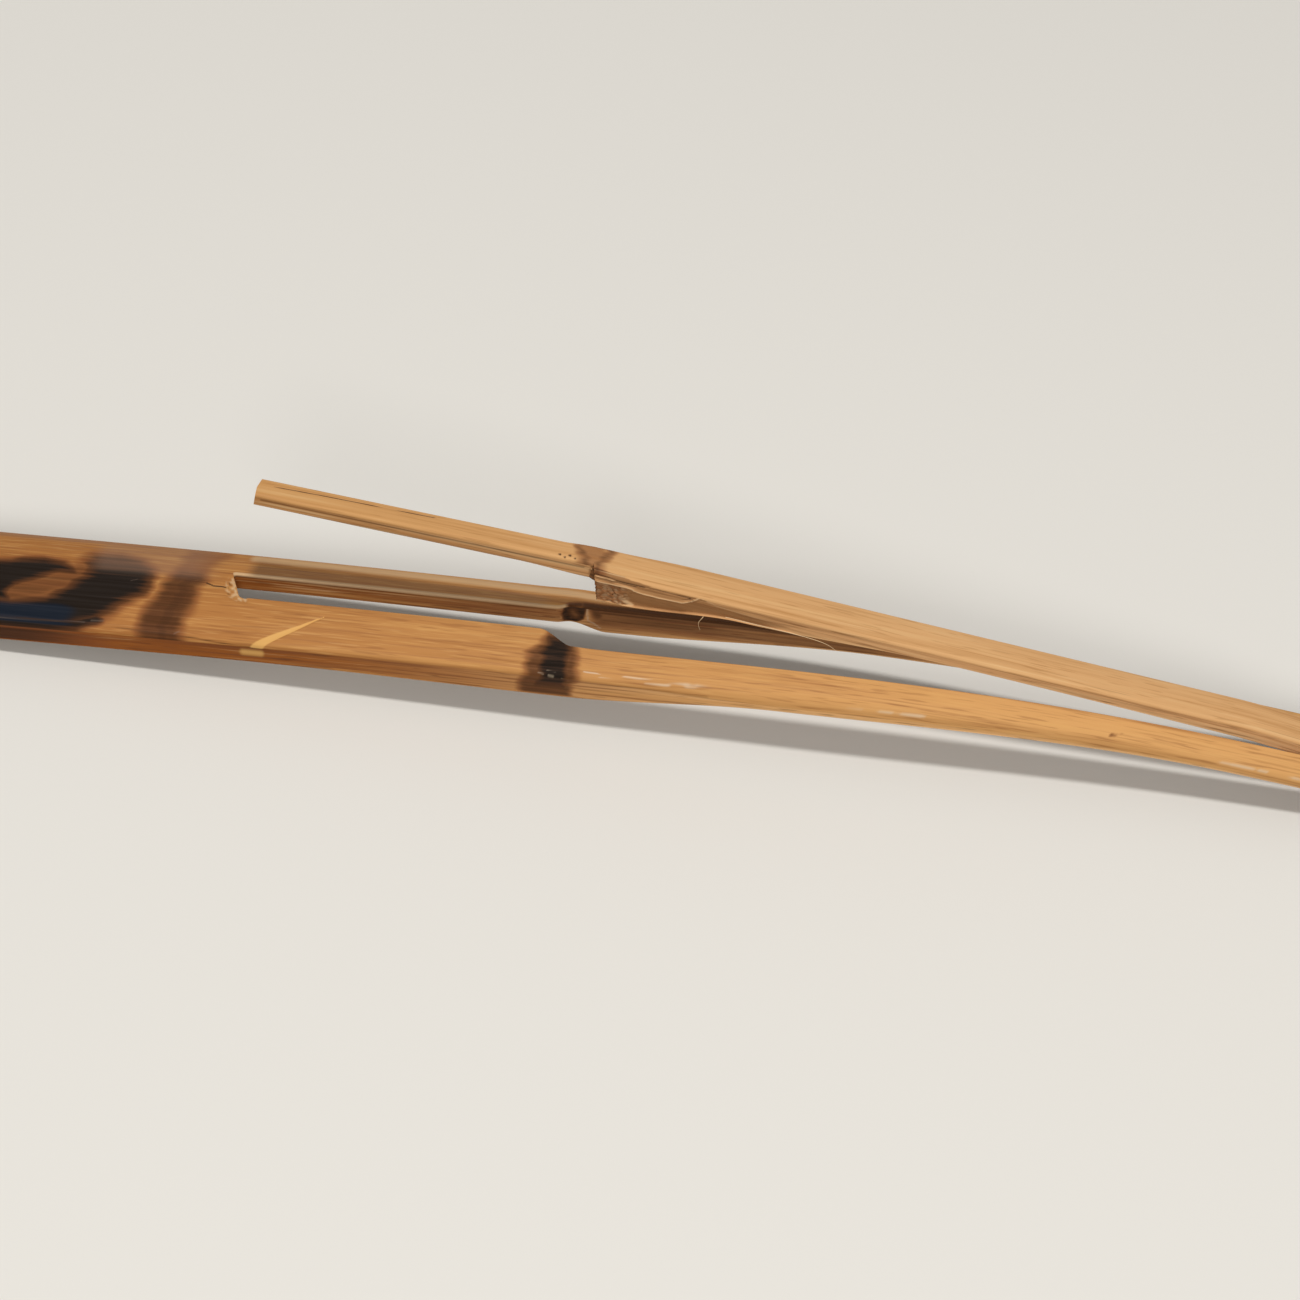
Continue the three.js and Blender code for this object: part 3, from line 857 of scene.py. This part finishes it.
print(f"torn from {shoulder_end:.0f} to {TORN_END:.0f} mm, hollowed by {HOLLOW} mm")

# %% [markdown]
# The tongue's top has fine scraped lines near the root, a long crack and a groove along the tip, and four
# pits at the joint. Its near wall carries the tear, as deep as each splinter and crack is. The wedge's end
# leans and is rough, and the tip is cut aslant.
# %% Knife work on the tongue
tip_crack = (((68.7, 0.75), (74.6, 0.92), (88, 1.11)), 0.055, 0.06)
tip_groove = (((68, -0.75), (86, -0.8), (106, -0.9)), 0.16, 0.16)
root_lines = (
    (((150, -1.75), (167, -1.6), (200, -1.72)), 0.04, 0.06),
    (((162, -1.3), (181, -1.36), (203, -1.45)), 0.03, 0.055),
)
pits = ((102.9, -0.6, 0.2), (103.5, -0.85, 0.17), (104.1, -0.5, 0.22), (104.7, -0.8, 0.16))
blade_thickness = profile((111, 4.75), (126, 2.85), (151, 1.72), (root_place, 2.49))
browned_stretch = ((104.2, 105.6), (107.6, 109.4))
tan_step_width = ((-0.6, -0.9), (-1.6, -1.9))
TONGUE_RIDGES = 0.04
TONGUE_WAVES = 0.015
HEEL_LEAN = 0.34
HEEL_ROUGHNESS = 0.4
HEEL_REACH = 7
TIP_SLANT = 0.25
TIP_SLANT_REACH = 6


def work_tongue(s, y, n, side, marks):
    top, near_wall, cap = side == TOP, side == NEAR_WALL, side == CAP
    around = y - BLADE_NEAR + n
    span = between(s, *torn_stretch)
    torn = span * smooth(-0.08, 0.12, torn_border(s) - around) * (near_wall | top)
    hollow = smooth(-0.05, 0.4, hollow_border(s) - around) * smooth(*hollow_rise, s)
    ragged = fade(*ragged_end, s) * smooth(-1.6, -2.1, around)
    streaks = np.abs(grain(s, y, n, 11, 0.3))
    chips = np.abs(grain(s, y, n, 0.9, 0.4, 9)) * ragged
    ribs = np.maximum(strokes(s, around, splinters + foot), 0.8 * strokes(s, around, curls))
    gaps = strokes(s, around, dark_cracks) * smooth(-0.6, -0.3, grain(s, around, 0, 6, 1, 6))
    relief = STREAK_DEPTH * streaks + GAP_DEPTH * gaps - RIB_HEIGHT * ribs
    relief = relief + HOLLOW * hollow + CHIP_DEPTH * chips
    plain = TONGUE_RIDGES * raised_grain(s, y, n, RIDGE_LENGTH, 0.5)

    pit = strongest(*(fade(r * 0.3, r * 1.5, np.hypot(s - a, y - b)) for a, b, r in pits))
    long_crack = stroke(s, y, *tip_crack) * smooth(-0.6, -0.1, grain(s, y, 0, 5, 9, 2))
    crack = top * np.maximum(long_crack, 0.8 * pit)
    lines = top * strokes(s, y, root_lines) * smooth(-0.3, 0.2, grain(s, y, 0, 8, 1, 3))
    tip_wall = near_wall & (s < shoulder_end)
    arris_dark_line = tip_wall * stroke(s, n, *tip_groove)
    joint_marks = 0.42 * strokes(s + 0.5 * grain(s, y, 0, 2, 0.6), y, tongue_joint_marks)
    browned = 0.27 * between(s, *browned_stretch)
    marks["scorch"] = strongest(top * joint_marks, top * browned, 0.2 * torn * ragged)
    marks["crack"] = strongest(crack, 0.8 * torn * gaps, 0.5 * lines, 0.5 * arris_dark_line)
    tan_step = between(around, *tan_step_width) * (1 - hollow)
    marks["torn"] = torn * (1 - 0.9 * ribs) * (1 - 0.6 * tan_step) * np.where(hollow > 0, 0.9, 1)
    # Painted rim light along the lower edges of the wedge and of the tip; the splinters, the chips and the
    # tip's end are pale fibre.
    marks["bleach"] = strongest(
        0.42 * span * near_wall * fade(0.03, 0.17, n + blade_thickness(s)),
        0.75 * torn * ribs,
        1.6 * torn * chips,
        0.6 * span * stroke(s, around, *border_light),
        0.6 * tip_wall * fade(0.1, 0.4, n + tip_thickness(s)),
        0.6 * cap * (s < tip_place + 2),
    )

    waves = TONGUE_WAVES * raised_grain(s, y, 0, 24, 1.1, 3)
    free = np.maximum(fade(-1.4, -1.2, y), smooth(-2.2, -2.6, n)) * (s > shoulder_end - 0.01)
    heel = HEEL_LEAN * np.maximum(-n, 0) + HEEL_ROUGHNESS * np.abs(grain(0 * s, y, n, 1, 0.4, 9))
    heel = heel * free * fade(0, HEEL_REACH, s - shoulder_end)
    slant = TIP_SLANT * (y - 0.1) * np.maximum(1 - (s - tip_place) / TIP_SLANT_REACH, 0)
    y = np.where(near_wall, y + torn * relief + plain, np.where(side == FAR_WALL, y - plain, y))
    return s + heel + slant, y, n - top * (waves + CRACK_DEPTH * crack + torn * relief)


thickness = blade_thickness(np.linspace(shoulder_end, root_place))
print(f"the wedge is {thickness.max():.2f} mm thick, the blade's thinnest place {thickness.min():.2f} mm")

# %% [markdown]
# Now a piece can be put together from rings, ends, knife work and marks. The marks are stored on the points,
# with their resting s, y and n, so that each piece carries its grain with it.
# Materials are given by side, and only edges above 40 degrees stay sharp.
# %% Putting a piece together
SHARP_ANGLE = math.radians(40)
WALL_ROWS = 14
COLUMN = 0.15
piece_objects = {}


def add_piece(name, mesh):
    piece = bpy.data.objects.new(name, mesh)
    scene.collection.objects.link(piece)
    piece_objects[name] = piece
    print(f"{name}: {len(mesh.vertices)} points, {len(mesh.polygons)} faces")


def store(mesh, name, kind, values):
    attribute = mesh.attributes.new(name, kind, "POINT")
    attribute.data.foreach_set("vector" if kind == "FLOAT_VECTOR" else "value", np.float32(values).ravel())


def harp_piece(name, line, span, near, far, top_at, under_at, near_round, far_round, work,
               walls=WALL_ROWS, column=COLUMN):
    s = ring_places(*span)
    edges = near(s), far(s), top_at, under_at, near_round(s), far_round(s)
    y, n, width, sides = rings(s, *edges, walls, column)
    rows, columns = y.shape
    points = np.stack([np.broadcast_to(s[:, None], y.shape), y, n], axis=-1)
    starts, ends = cap_points(points[0], width, walls), cap_points(points[-1], width, walls)
    inner = starts.shape[0] * starts.shape[1]
    points = np.concatenate([points.reshape(-1, 3), starts.reshape(-1, 3), ends.reshape(-1, 3)])
    side = np.concatenate([np.tile(sides, rows), np.full(2 * inner, CAP)])
    faces = [
        ring_faces(rows, columns),
        cap_faces(0, rows * columns, width, walls)[:, ::-1],
        cap_faces((rows - 1) * columns, rows * columns + inner, width, walls),
    ]
    around = np.repeat([TOP, FAR_WALL, UNDER, NEAR_WALL], [width - 1, walls + 1] * 2)
    face_side = np.concatenate([np.tile(around, rows - 1), np.full(len(faces[1]) + len(faces[2]), CAP)])
    marks = {mark: np.zeros(len(points)) for mark in MARKS}
    worked = work(points[:, 0], points[:, 1], points[:, 2], side, marks)

    mesh = bpy.data.meshes.new(name)
    mesh.from_pydata(place(line, *worked).tolist(), [], np.concatenate(faces).tolist())
    store(mesh, "strip_mm", "FLOAT_VECTOR", points)
    for mark, values in marks.items():
        store(mesh, mark, "FLOAT", values)
    mesh.polygons.foreach_set("material_index", face_side.astype(np.int32))
    mesh.shade_smooth()
    mesh.set_sharp_from_angle(angle=SHARP_ANGLE)
    add_piece(name, mesh)


# %% [markdown]
# The frame comes first: the solid grip, the solid strike end and the two arms beside the slot. The arms are
# cut in two at the middle of their bend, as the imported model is, but both halves share their border ring,
# so no cut shows. The outer near arris is scraped wider than the far one, most of all towards the root of
# the tongue, and the inner ones are left nearly sharp.
# %% The frame's pieces
FAR_ARRIS = 0.28
INNER_ARRIS = 0.2
GRIP_EASE = 0.25
STRIKE_EASE = 0.5
near_arris = profile((joint_place, 0.5), (joint_place + 26, 1.25))


def always(value):
    return lambda s: value + 0 * s


def skin_top(s, y):
    eased = rounding(s, GRIP_EASE) + rounding(strip_end - s, STRIKE_EASE)
    return skin_height(s, y) - eased


frame_spans = {
    "grip_bamboo": ((0, slot_start), near_edge, far_edge),
    "strike_bamboo": ((root_place, strip_end), near_edge, far_edge),
    "near_arm_bamboo": ((slot_start, flex_place), near_edge, near_slot_edge),
    "near_root_bamboo": ((flex_place, root_place), near_edge, near_slot_edge),
    "far_arm_bamboo": ((slot_start, flex_place), far_slot_edge, far_edge),
    "far_root_bamboo": ((flex_place, root_place), far_slot_edge, far_edge),
}
for name, (span, near, far) in frame_spans.items():
    near_round = near_arris if near is near_edge else always(INNER_ARRIS)
    far_round = always(FAR_ARRIS if far is far_edge else INNER_ARRIS)
    harp_piece(name, on_strip, span, near, far, skin_top, underside_height, near_round, far_round, work_frame)

# %% [markdown]
# The tongue is thin at its root, where it bends, and thick at the joint, where the wedge gives it the
# weight that sets its pitch. Past the joint it is narrow, and its tip is cut aslant.
# %% The tongue's pieces
tip_thickness = profile((tip_place, 1.75), (85, 1.88), (shoulder_end - 9, 1.98), (shoulder_end, 2.42))
tip_far = profile((tip_place, 1.72), (103, 1.66), (shoulder_end, 1.78))
blade_far = profile((shoulder_end, 1.78), (109.5, 1.95), (119, 2.34))
TIP_NEAR = -1.12
NEAR_ROUND = 0.4
FAR_ROUND = 0.2
WEDGE_ROWS = 34
TONGUE_COLUMN = 0.1


def blade_under(s, y):
    return 0 * y - blade_thickness(s)


def tip_under(s, y):
    return 0 * y - tip_thickness(s)


tongue_spans = {
    "blade_bamboo": ((shoulder_end, root_place), BLADE_NEAR, blade_far, blade_under, WEDGE_ROWS),
    "tip_bamboo": ((tip_place, shoulder_end), TIP_NEAR, tip_far, tip_under, WALL_ROWS),
}
for name, (span, near, far, under, walls) in tongue_spans.items():
    harp_piece(name, on_tongue, span, always(near), far, skin_height, under, always(NEAR_ROUND),
               always(FAR_ROUND), work_tongue, walls, TONGUE_COLUMN)

# %% [markdown]
# Two loose fibres stand off the torn side: one peels away along the wedge's lower edge, and a fine hair
# hangs from the hollow. Each is a thin tapered tube along a few points, made by a bevelled curve.
# %% Loose fibres
FIBRE_RADIUS = 0.06


def fibre(name, points):
    curve = bpy.data.curves.new(name, "CURVE")
    curve.dimensions = "3D"
    curve.bevel_depth = FIBRE_RADIUS * MM
    curve.bevel_resolution = 1
    curve.use_fill_caps = True
    spline = curve.splines.new("NURBS")
    spline.points.add(len(points) - 1)
    spline.use_endpoint_u = True
    spline.order_u = 3
    for index, (s, y, n) in enumerate(points):
        spline.points[index].co = (*spot(on_tongue, s, y, n), 1)
        spline.points[index].radius = 1 - 0.75 * index / (len(points) - 1)
    rough = bpy.data.objects.new(name + "_curve", curve)
    scene.collection.objects.link(rough)
    mesh = bpy.data.meshes.new_from_object(rough.evaluated_get(bpy.context.evaluated_depsgraph_get()))
    bpy.data.objects.remove(rough)
    mesh.name = name
    start = np.array(points[0])
    store(mesh, "strip_mm", "FLOAT_VECTOR", [start + (0.01 * i, 0, 0) for i in range(len(mesh.vertices))])
    add_piece(name, mesh)


fibre("edge_fibre", (
    (124, -1.9, -2.8), (128.5, -2.15, -2.6), (133.2, -2.3, -2.45), (136, -2.5, -2.5),
    (137.3, -2.65, -2.8), (138, -2.7, -3.2)))
fibre("hair_fibre", (
    (121.5, -1.75, -3.1), (121.45, -2.2, -3.3), (121.2, -2.3, -3.9), (121.1, -2.35, -4.6),
    (121.7, -2.4, -5.5)))

# %% [markdown]
# Two small helpers serve every finish. One adds a node with its settings and its links, and the other
# turns an sRGB hex colour, as a colour picker shows it, into the linear numbers that Blender counts with.
# %% Helpers for finishes
def linear(colour):
    channels = [int(colour[i : i + 2], 16) / 255 for i in (1, 3, 5)]
    return (*[c / 12.92 if c <= 0.04045 else ((c + 0.055) / 1.055) ** 2.4 for c in channels], 1)


def add(tree, kind, inputs=None, **settings):
    node = tree.nodes.new("ShaderNode" + kind)
    for key, value in settings.items():
        setattr(node, key, value)
    for key, value in (inputs or {}).items():
        if isinstance(value, bpy.types.NodeSocket):
            tree.links.new(value, node.inputs[key])
        elif isinstance(value, str):
            node.inputs[key].default_value = linear(value)
        else:
            node.inputs[key].default_value = value
    return node


print("mid tan", [round(c, 3) for c in linear("#ba834d")])

# %% [markdown]
# All finishes of this harp are bamboo, so they share one recipe. Bamboo is long fibre bundles, 0.2 to
# 0.4 mm thick, in a softer ground, so the recipe has broad streaks, fine fibres and short dark dashes, all
# stretched along s. Bundles under 0.3 mm would vanish in the render and are drawn at 0.3 mm. A look is a
# table of layers: which pattern or mark, between which two of its values, how strongly, and which colour.
# Handling has darkened the grip, so each look has a colour there and one towards the root of the tongue. On
# the split walls of the frame and of the tongue the lighter root colour is also painted light: it stands in
# for the stronger light that falls on those walls towards the root.
# %% The bamboo recipe
BAMBOO_IOR = 1.5
SPECULAR_LEVEL = 0.16
GLOSS_COAT = 0.12
COAT_ROUGHNESS = 0.3
ROUGHNESS_SWING = 0.12
CHAR_ROUGHNESS = 0.14
NOISE_ROUGHNESS = 0.55
BUMP_MM = 0.03
noise_range = (0.35, 0.65)
strands = {
    # length and width of a strand in mm, detail, shift
    "streak": (42, 1.3, 2, 0),
    "fibre": (16, 0.34, 3, 11),
    "dash": (5, 0.3, 1, 23),
}
# Several layers are painted light: the painted rim light and sheen in the pale layer, the blue reflection,
# the sheen and shadow layer, the glints, and the painted shade carried by the scorch and crack layers.
mark_layers = (
    ("torn", 0.1, 0.9, 0.85, "#96683f"),
    ("bleach", 0.1, 0.95, 0.75, "#d9b98e"),
    ("pale", 0.1, 0.8, 0.9, "#dfab62"),
    ("scorch", 0.03, 0.3, 0.6, "#7a4222"),
    ("scorch", 0.2, 0.6, 0.85, "#42240f"),
    ("scorch", 0.52, 1, 1, "#1b120b"),
    ("soot", 0.3, 0.9, 0.9, "#0f1824"),
    ("haze", 0, 1, 0.35, "#917d6e"),
    ("crack", 0.1, 0.85, 1, "#35200f"),
    ("gloss", 0.1, 0.9, 0.6, "#dcc4a4"),
)


def bamboo(name, grip, root, layers, rough=0.6, start=40, stop=150):
    material = bpy.data.materials.new(name)
    material.use_nodes = True
    tree = material.node_tree
    shader = tree.nodes["Principled BSDF"]
    place_mm = add(tree, "Attribute", attribute_name="strip_mm").outputs["Vector"]
    sources = {"along": add(tree, "SeparateXYZ", {0: place_mm}).outputs[0]}
    for strand, (length, width, detail, shift) in strands.items():
        scale = (1 / length, 1 / width, 1 / width)
        stretch = {"Vector": place_mm, "Scale": scale, "Location": (shift, shift, 0)}
        stretched = add(tree, "Mapping", stretch).outputs[0]
        pattern = {"Vector": stretched, "Scale": 1, "Detail": detail, "Roughness": NOISE_ROUGHNESS}
        sources[strand] = add(tree, "TexNoise", pattern).outputs["Fac"]
    for mark in MARKS:
        sources[mark] = add(tree, "Attribute", attribute_name=mark).outputs["Fac"]
    spread = dict(enumerate((sources["fibre"], *noise_range, 0.86, 1.14)))
    swing = add(tree, "MapRange", spread).outputs["Result"]
    for mark in ("scorch", "torn"):
        product = add(tree, "Math", {0: sources[mark], 1: swing}, operation="MULTIPLY")
        sources[mark] = product.outputs[0]

    colour = grip
    for source, low, high, strength, shade in (("along", start, stop, 1, root), *layers, *mark_layers):
        amount = dict(enumerate((sources[source], low, high, 0, strength)))
        amount = add(tree, "MapRange", amount, interpolation_type="SMOOTHSTEP").outputs["Result"]
        colour = add(tree, "Mix", {0: amount, 6: colour, 7: shade}, data_type="RGBA").outputs[2]

    spread = (sources["fibre"], *noise_range, rough - ROUGHNESS_SWING, rough + ROUGHNESS_SWING)
    scatter = add(tree, "MapRange", dict(enumerate(spread))).outputs["Result"]
    charred = {0: sources["scorch"], 1: CHAR_ROUGHNESS, 2: scatter}
    shine = {0: sources["gloss"], 1: GLOSS_COAT}
    raised = {0: sources["dash"], 1: 0.5, 2: sources["fibre"]}
    relief = add(tree, "Math", raised, operation="MULTIPLY_ADD")
    bump = add(tree, "Bump", {"Height": relief.outputs[0], "Distance": BUMP_MM * MM})
    linked = {
        "Base Color": colour,
        "Roughness": add(tree, "Math", charred, operation="MULTIPLY_ADD").outputs[0],
        "Coat Weight": add(tree, "Math", shine, operation="MULTIPLY").outputs[0],
        "Normal": bump.outputs[0],
    }
    for socket, value in linked.items():
        tree.links.new(value, shader.inputs[socket])
    shader.inputs["IOR"].default_value = BAMBOO_IOR
    shader.inputs["Specular IOR Level"].default_value = SPECULAR_LEVEL
    shader.inputs["Coat Roughness"].default_value = COAT_ROUGHNESS
    return material


print(f"fibres are drawn at about {strands['fibre'][1] * PIXELS_PER_MM:.1f} pixels")

# %% [markdown]
# The frame keeps the culm's own skin, a hard waxy layer that oil has turned tan, so it is smooth and has a
# thin shine. Its split walls show redder wood that has soaked up oil, with strong streaks. The hollow and
# the ends were scraped and sawn, so they are dull and paler. The tongue's top is scraped lighter, to tune it.
# %% Finishes
oiled_skin = bamboo("oiled bamboo skin", "#ab7038", "#d69f61", (
    ("streak", 0.5, 0.3, 0.4, "#8f582a"), ("streak", 0.52, 0.75, 0.4, "#d6a05e"),
    ("fibre", 0.5, 0.28, 0.4, "#8f582a"), ("fibre", 0.55, 0.75, 0.35, "#dca968"),
    ("dash", 0.56, 0.7, 0.35, "#84502a"), ("dash", 0.44, 0.3, 0.3, "#dca968")), rough=0.66, stop=172)
# The pale root colour of the split wall is partly painted light.
split_wall = bamboo("split bamboo wall", "#9b5820", "#f3bb7c", (
    ("streak", 0.5, 0.3, 0.5, "#7f451c"), ("streak", 0.52, 0.72, 0.6, "#e3a562"),
    ("fibre", 0.5, 0.3, 0.6, "#77401a"), ("fibre", 0.54, 0.72, 0.5, "#efbd84"),
    ("dash", 0.6, 0.7, 0.45, "#653716")), rough=0.55, start=68, stop=140)
hollow_wood = bamboo("scraped bamboo hollow", "#b98a58", "#d0a16c", (
    ("streak", 0.5, 0.3, 0.5, "#8d6136"), ("streak", 0.52, 0.75, 0.5, "#e2bd8a"),
    ("fibre", 0.5, 0.28, 0.5, "#8d6136"), ("fibre", 0.55, 0.75, 0.4, "#e2bd8a"),
    ("dash", 0.6, 0.72, 0.5, "#7d522c")), rough=0.7)
sawn_end = bamboo("sawn bamboo end", "#a87a4c", "#c79a66", (
    ("fibre", 0.5, 0.28, 0.5, "#5c3a1e"), ("fibre", 0.55, 0.75, 0.4, "#d9b483"),
    ("dash", 0.58, 0.7, 0.6, "#4c2f18")), rough=0.75)
scraped_top = bamboo("scraped bamboo tongue", "#c69156", "#d7a56f", (
    ("streak", 0.5, 0.3, 0.4, "#a9733b"), ("streak", 0.52, 0.75, 0.4, "#e3ba82"),
    ("fibre", 0.5, 0.28, 0.45, "#a9733b"), ("fibre", 0.55, 0.75, 0.4, "#e6c08c"),
    ("dash", 0.6, 0.72, 0.35, "#9c6936")), rough=0.62)
# The pale root colour of the tongue's wall is partly painted light.
tongue_wall = bamboo("split bamboo tongue wall", "#b67c44", "#dda974", (
    ("streak", 0.5, 0.3, 0.6, "#86552c"), ("streak", 0.52, 0.75, 0.6, "#e9c490"),
    ("fibre", 0.5, 0.28, 0.6, "#86552c"), ("fibre", 0.55, 0.75, 0.5, "#ecc894"),
    ("dash", 0.6, 0.72, 0.5, "#7a4a24")), rough=0.65)
# The tongue's end faces are end grain painted dark as shade, for the shade in the notch before the wedge.
end_in_painted_shade = bamboo("dark bamboo step", "#8a5a34", "#7a5230", (
    ("fibre", 0.5, 0.28, 0.6, "#33200f"), ("fibre", 0.55, 0.75, 0.5, "#a47a4e"),
    ("dash", 0.58, 0.7, 0.6, "#33200f")), rough=0.75)
loose_fibre = bamboo("loose bamboo fibre", "#dcb98c", "#e2c49a", (("fibre", 0.5, 0.3, 0.3, "#b58a5c"),))

frame_looks = (oiled_skin, split_wall, hollow_wood, split_wall, sawn_end)
tongue_looks = (scraped_top, tongue_wall, hollow_wood, tongue_wall, end_in_painted_shade)
looks_of = {"blade_bamboo": tongue_looks, "tip_bamboo": tongue_looks}
looks_of.update({"edge_fibre": (loose_fibre,), "hair_fibre": (loose_fibre,)})
for name, piece in piece_objects.items():
    for look in looks_of.get(name, frame_looks):
        piece.data.materials.append(look)
print(f"{len(piece_objects)} pieces have {len(frame_looks) + len(tongue_looks)} looks by side")

# %% [markdown]
# Each piece takes over its imported node. The solid ends ride on their bodies, and the tongue's tip and the
# loose fibres ride on the tongue. The arms and the blade are fixed in place, and the lengths over which the
# arms and the tongue's thin root bend are printed.
# %% What the pieces stand for and how they move
ARM_MIDDLE = -1.5
TONGUE_MIDDLE = -1
ROOT_MARGIN = 0.3
THIN_LENGTH = 34
arm_start = spot(on_strip, bend_start, 0, ARM_MIDDLE)
arm_end = spot(on_strip, root_place - ROOT_MARGIN, 0, ARM_MIDDLE)
tongue_start = spot(on_tongue, root_place, 0, TONGUE_MIDDLE)
tongue_end = spot(on_tongue, root_place - THIN_LENGTH, 0, TONGUE_MIDDLE)
stands_for = {
    "grip_bamboo": ("grip_end", "frame"),
    "strike_bamboo": ("strike_end", "strike"),
    "near_arm_bamboo": ("near_arm", None),
    "near_root_bamboo": ("near_arm_root", None),
    "far_arm_bamboo": ("far_arm", None),
    "far_root_bamboo": ("far_arm_root", None),
    "blade_bamboo": ("tongue_blade", None),
    "tip_bamboo": ("tongue_tip", "tongue"),
    "edge_fibre": (None, "tongue"),
    "hair_fibre": (None, "tongue"),
}
for name, (node, body) in stands_for.items():
    piece = piece_objects[name]
    if node:
        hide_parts(node)
    if body:
        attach(piece, body)
    elif name in frame_spans:
        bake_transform(piece)
    else:
        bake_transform(piece)
print(f"arms bend over {(arm_end - arm_start).length / MM:.0f} mm, the tongue over "
      f"{(tongue_end - tongue_start).length / MM:.0f} mm")

# %% [markdown]
# A plain pale floor keeps the harp's soft shadow. Seen directly, or in gloss or glass, it is pale. For light
# that bounces off it, it is darker, so that the walls of the slot stay in shade as over a dark table.
# %% Floor
FLOOR_HALF = 2
FLOOR_SINK = 0.0002
FLOOR_ROUGHNESS = 0.9


def seen_directly(tree):
    """1 for light that comes to the camera straight, or by gloss or glass, and 0 for other light."""
    rays = add(tree, "LightPath").outputs
    seen = rays["Is Camera Ray"]
    for kind in ("Is Glossy Ray", "Is Transmission Ray"):
        seen = add(tree, "Math", {0: seen, 1: rays[kind]}, operation="MAXIMUM").outputs[0]
    return seen


floor_material = bpy.data.materials.new("pale floor")
floor_material.use_nodes = True
floor_tree = floor_material.node_tree
floor_shades = {0: seen_directly(floor_tree), 6: "#8a857c", 7: "#e6e2da"}
floor_colour = add(floor_tree, "Mix", floor_shades, data_type="RGBA")
floor_shader = floor_tree.nodes["Principled BSDF"]
floor_tree.links.new(floor_colour.outputs[2], floor_shader.inputs["Base Color"])
floor_shader.inputs["Roughness"].default_value = FLOOR_ROUGHNESS
floor_mesh = bpy.data.meshes.new("floor")
corners = ((-1, -1), (1, -1), (1, 1), (-1, 1))
floor_points = [(x * FLOOR_HALF, y * FLOOR_HALF, -FLOOR_SINK) for x, y in corners]
floor_mesh.from_pydata(floor_points, [], [(0, 1, 2, 3)])
floor_mesh.materials.append(floor_material)
floor = bpy.data.objects.new("floor", floor_mesh)
scene.collection.objects.link(floor)
floor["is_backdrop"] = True
print(f"floor {2 * FLOOR_HALF:.0f} m square")

# %% [markdown]
# The light in the photograph comes from steeply above and a little from the near side. The shadow of the
# tongue on the far arm tells this, and its border, about 1 mm soft at 12 mm, gives the size of the lamp. A
# second lamp, wider and softer, stands 52 degrees from above on the near side and lights the walls there.
# %% Light
LAMP_DISTANCE = 1.2
lamps = {
    # tilt from straight above in degrees, size in m, level at which a facing white renders as that grey
    "key": (11, 0.12, 0.49),
    "fill": (52, 0.4, 0.34),
}
SKY_LEVEL = 0.3
SKY_SEEN = 0.85

for name, (tilt_degrees, lamp_size, lamp_level) in lamps.items():
    lamp_data = bpy.data.lights.new(name, "AREA")
    lamp_data.shape = "DISK"
    lamp_data.size = lamp_size
    lamp_data.energy = lamp_level * math.pi**2 * LAMP_DISTANCE**2
    lamp = bpy.data.objects.new(name, lamp_data)
    tilt = math.radians(tilt_degrees)
    lamp.location = Vector((0, -math.sin(tilt), math.cos(tilt))) * LAMP_DISTANCE
    lamp.rotation_euler = lamp.location.to_track_quat("Z", "Y").to_euler()
    scene.collection.objects.link(lamp)
    print(f"{name} {lamp_data.energy:.1f} W at {LAMP_DISTANCE} m")

world = bpy.data.worlds.new("studio")
world.use_nodes = True
sky_tree = world.node_tree
sky_levels = {"Value": seen_directly(sky_tree), "To Min": SKY_LEVEL, "To Max": SKY_SEEN}
strength = add(sky_tree, "MapRange", sky_levels)
sky = sky_tree.nodes["Background"]
sky.inputs["Color"].default_value = linear("#fbfaf8")
sky_tree.links.new(strength.outputs["Result"], sky.inputs["Strength"])
scene.world = world
scene.view_settings.view_transform = "Standard"

# %% [markdown]
# Last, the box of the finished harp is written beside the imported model's, to compare the two.
# %% Size and finish
made_low, made_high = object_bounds()
pairs = zip((*made_low, *made_high), (*cad_low, *cad_high))
print("visual box less CAD box, in mm:", [round((made - cad) / MM, 2) for made, cad in pairs])
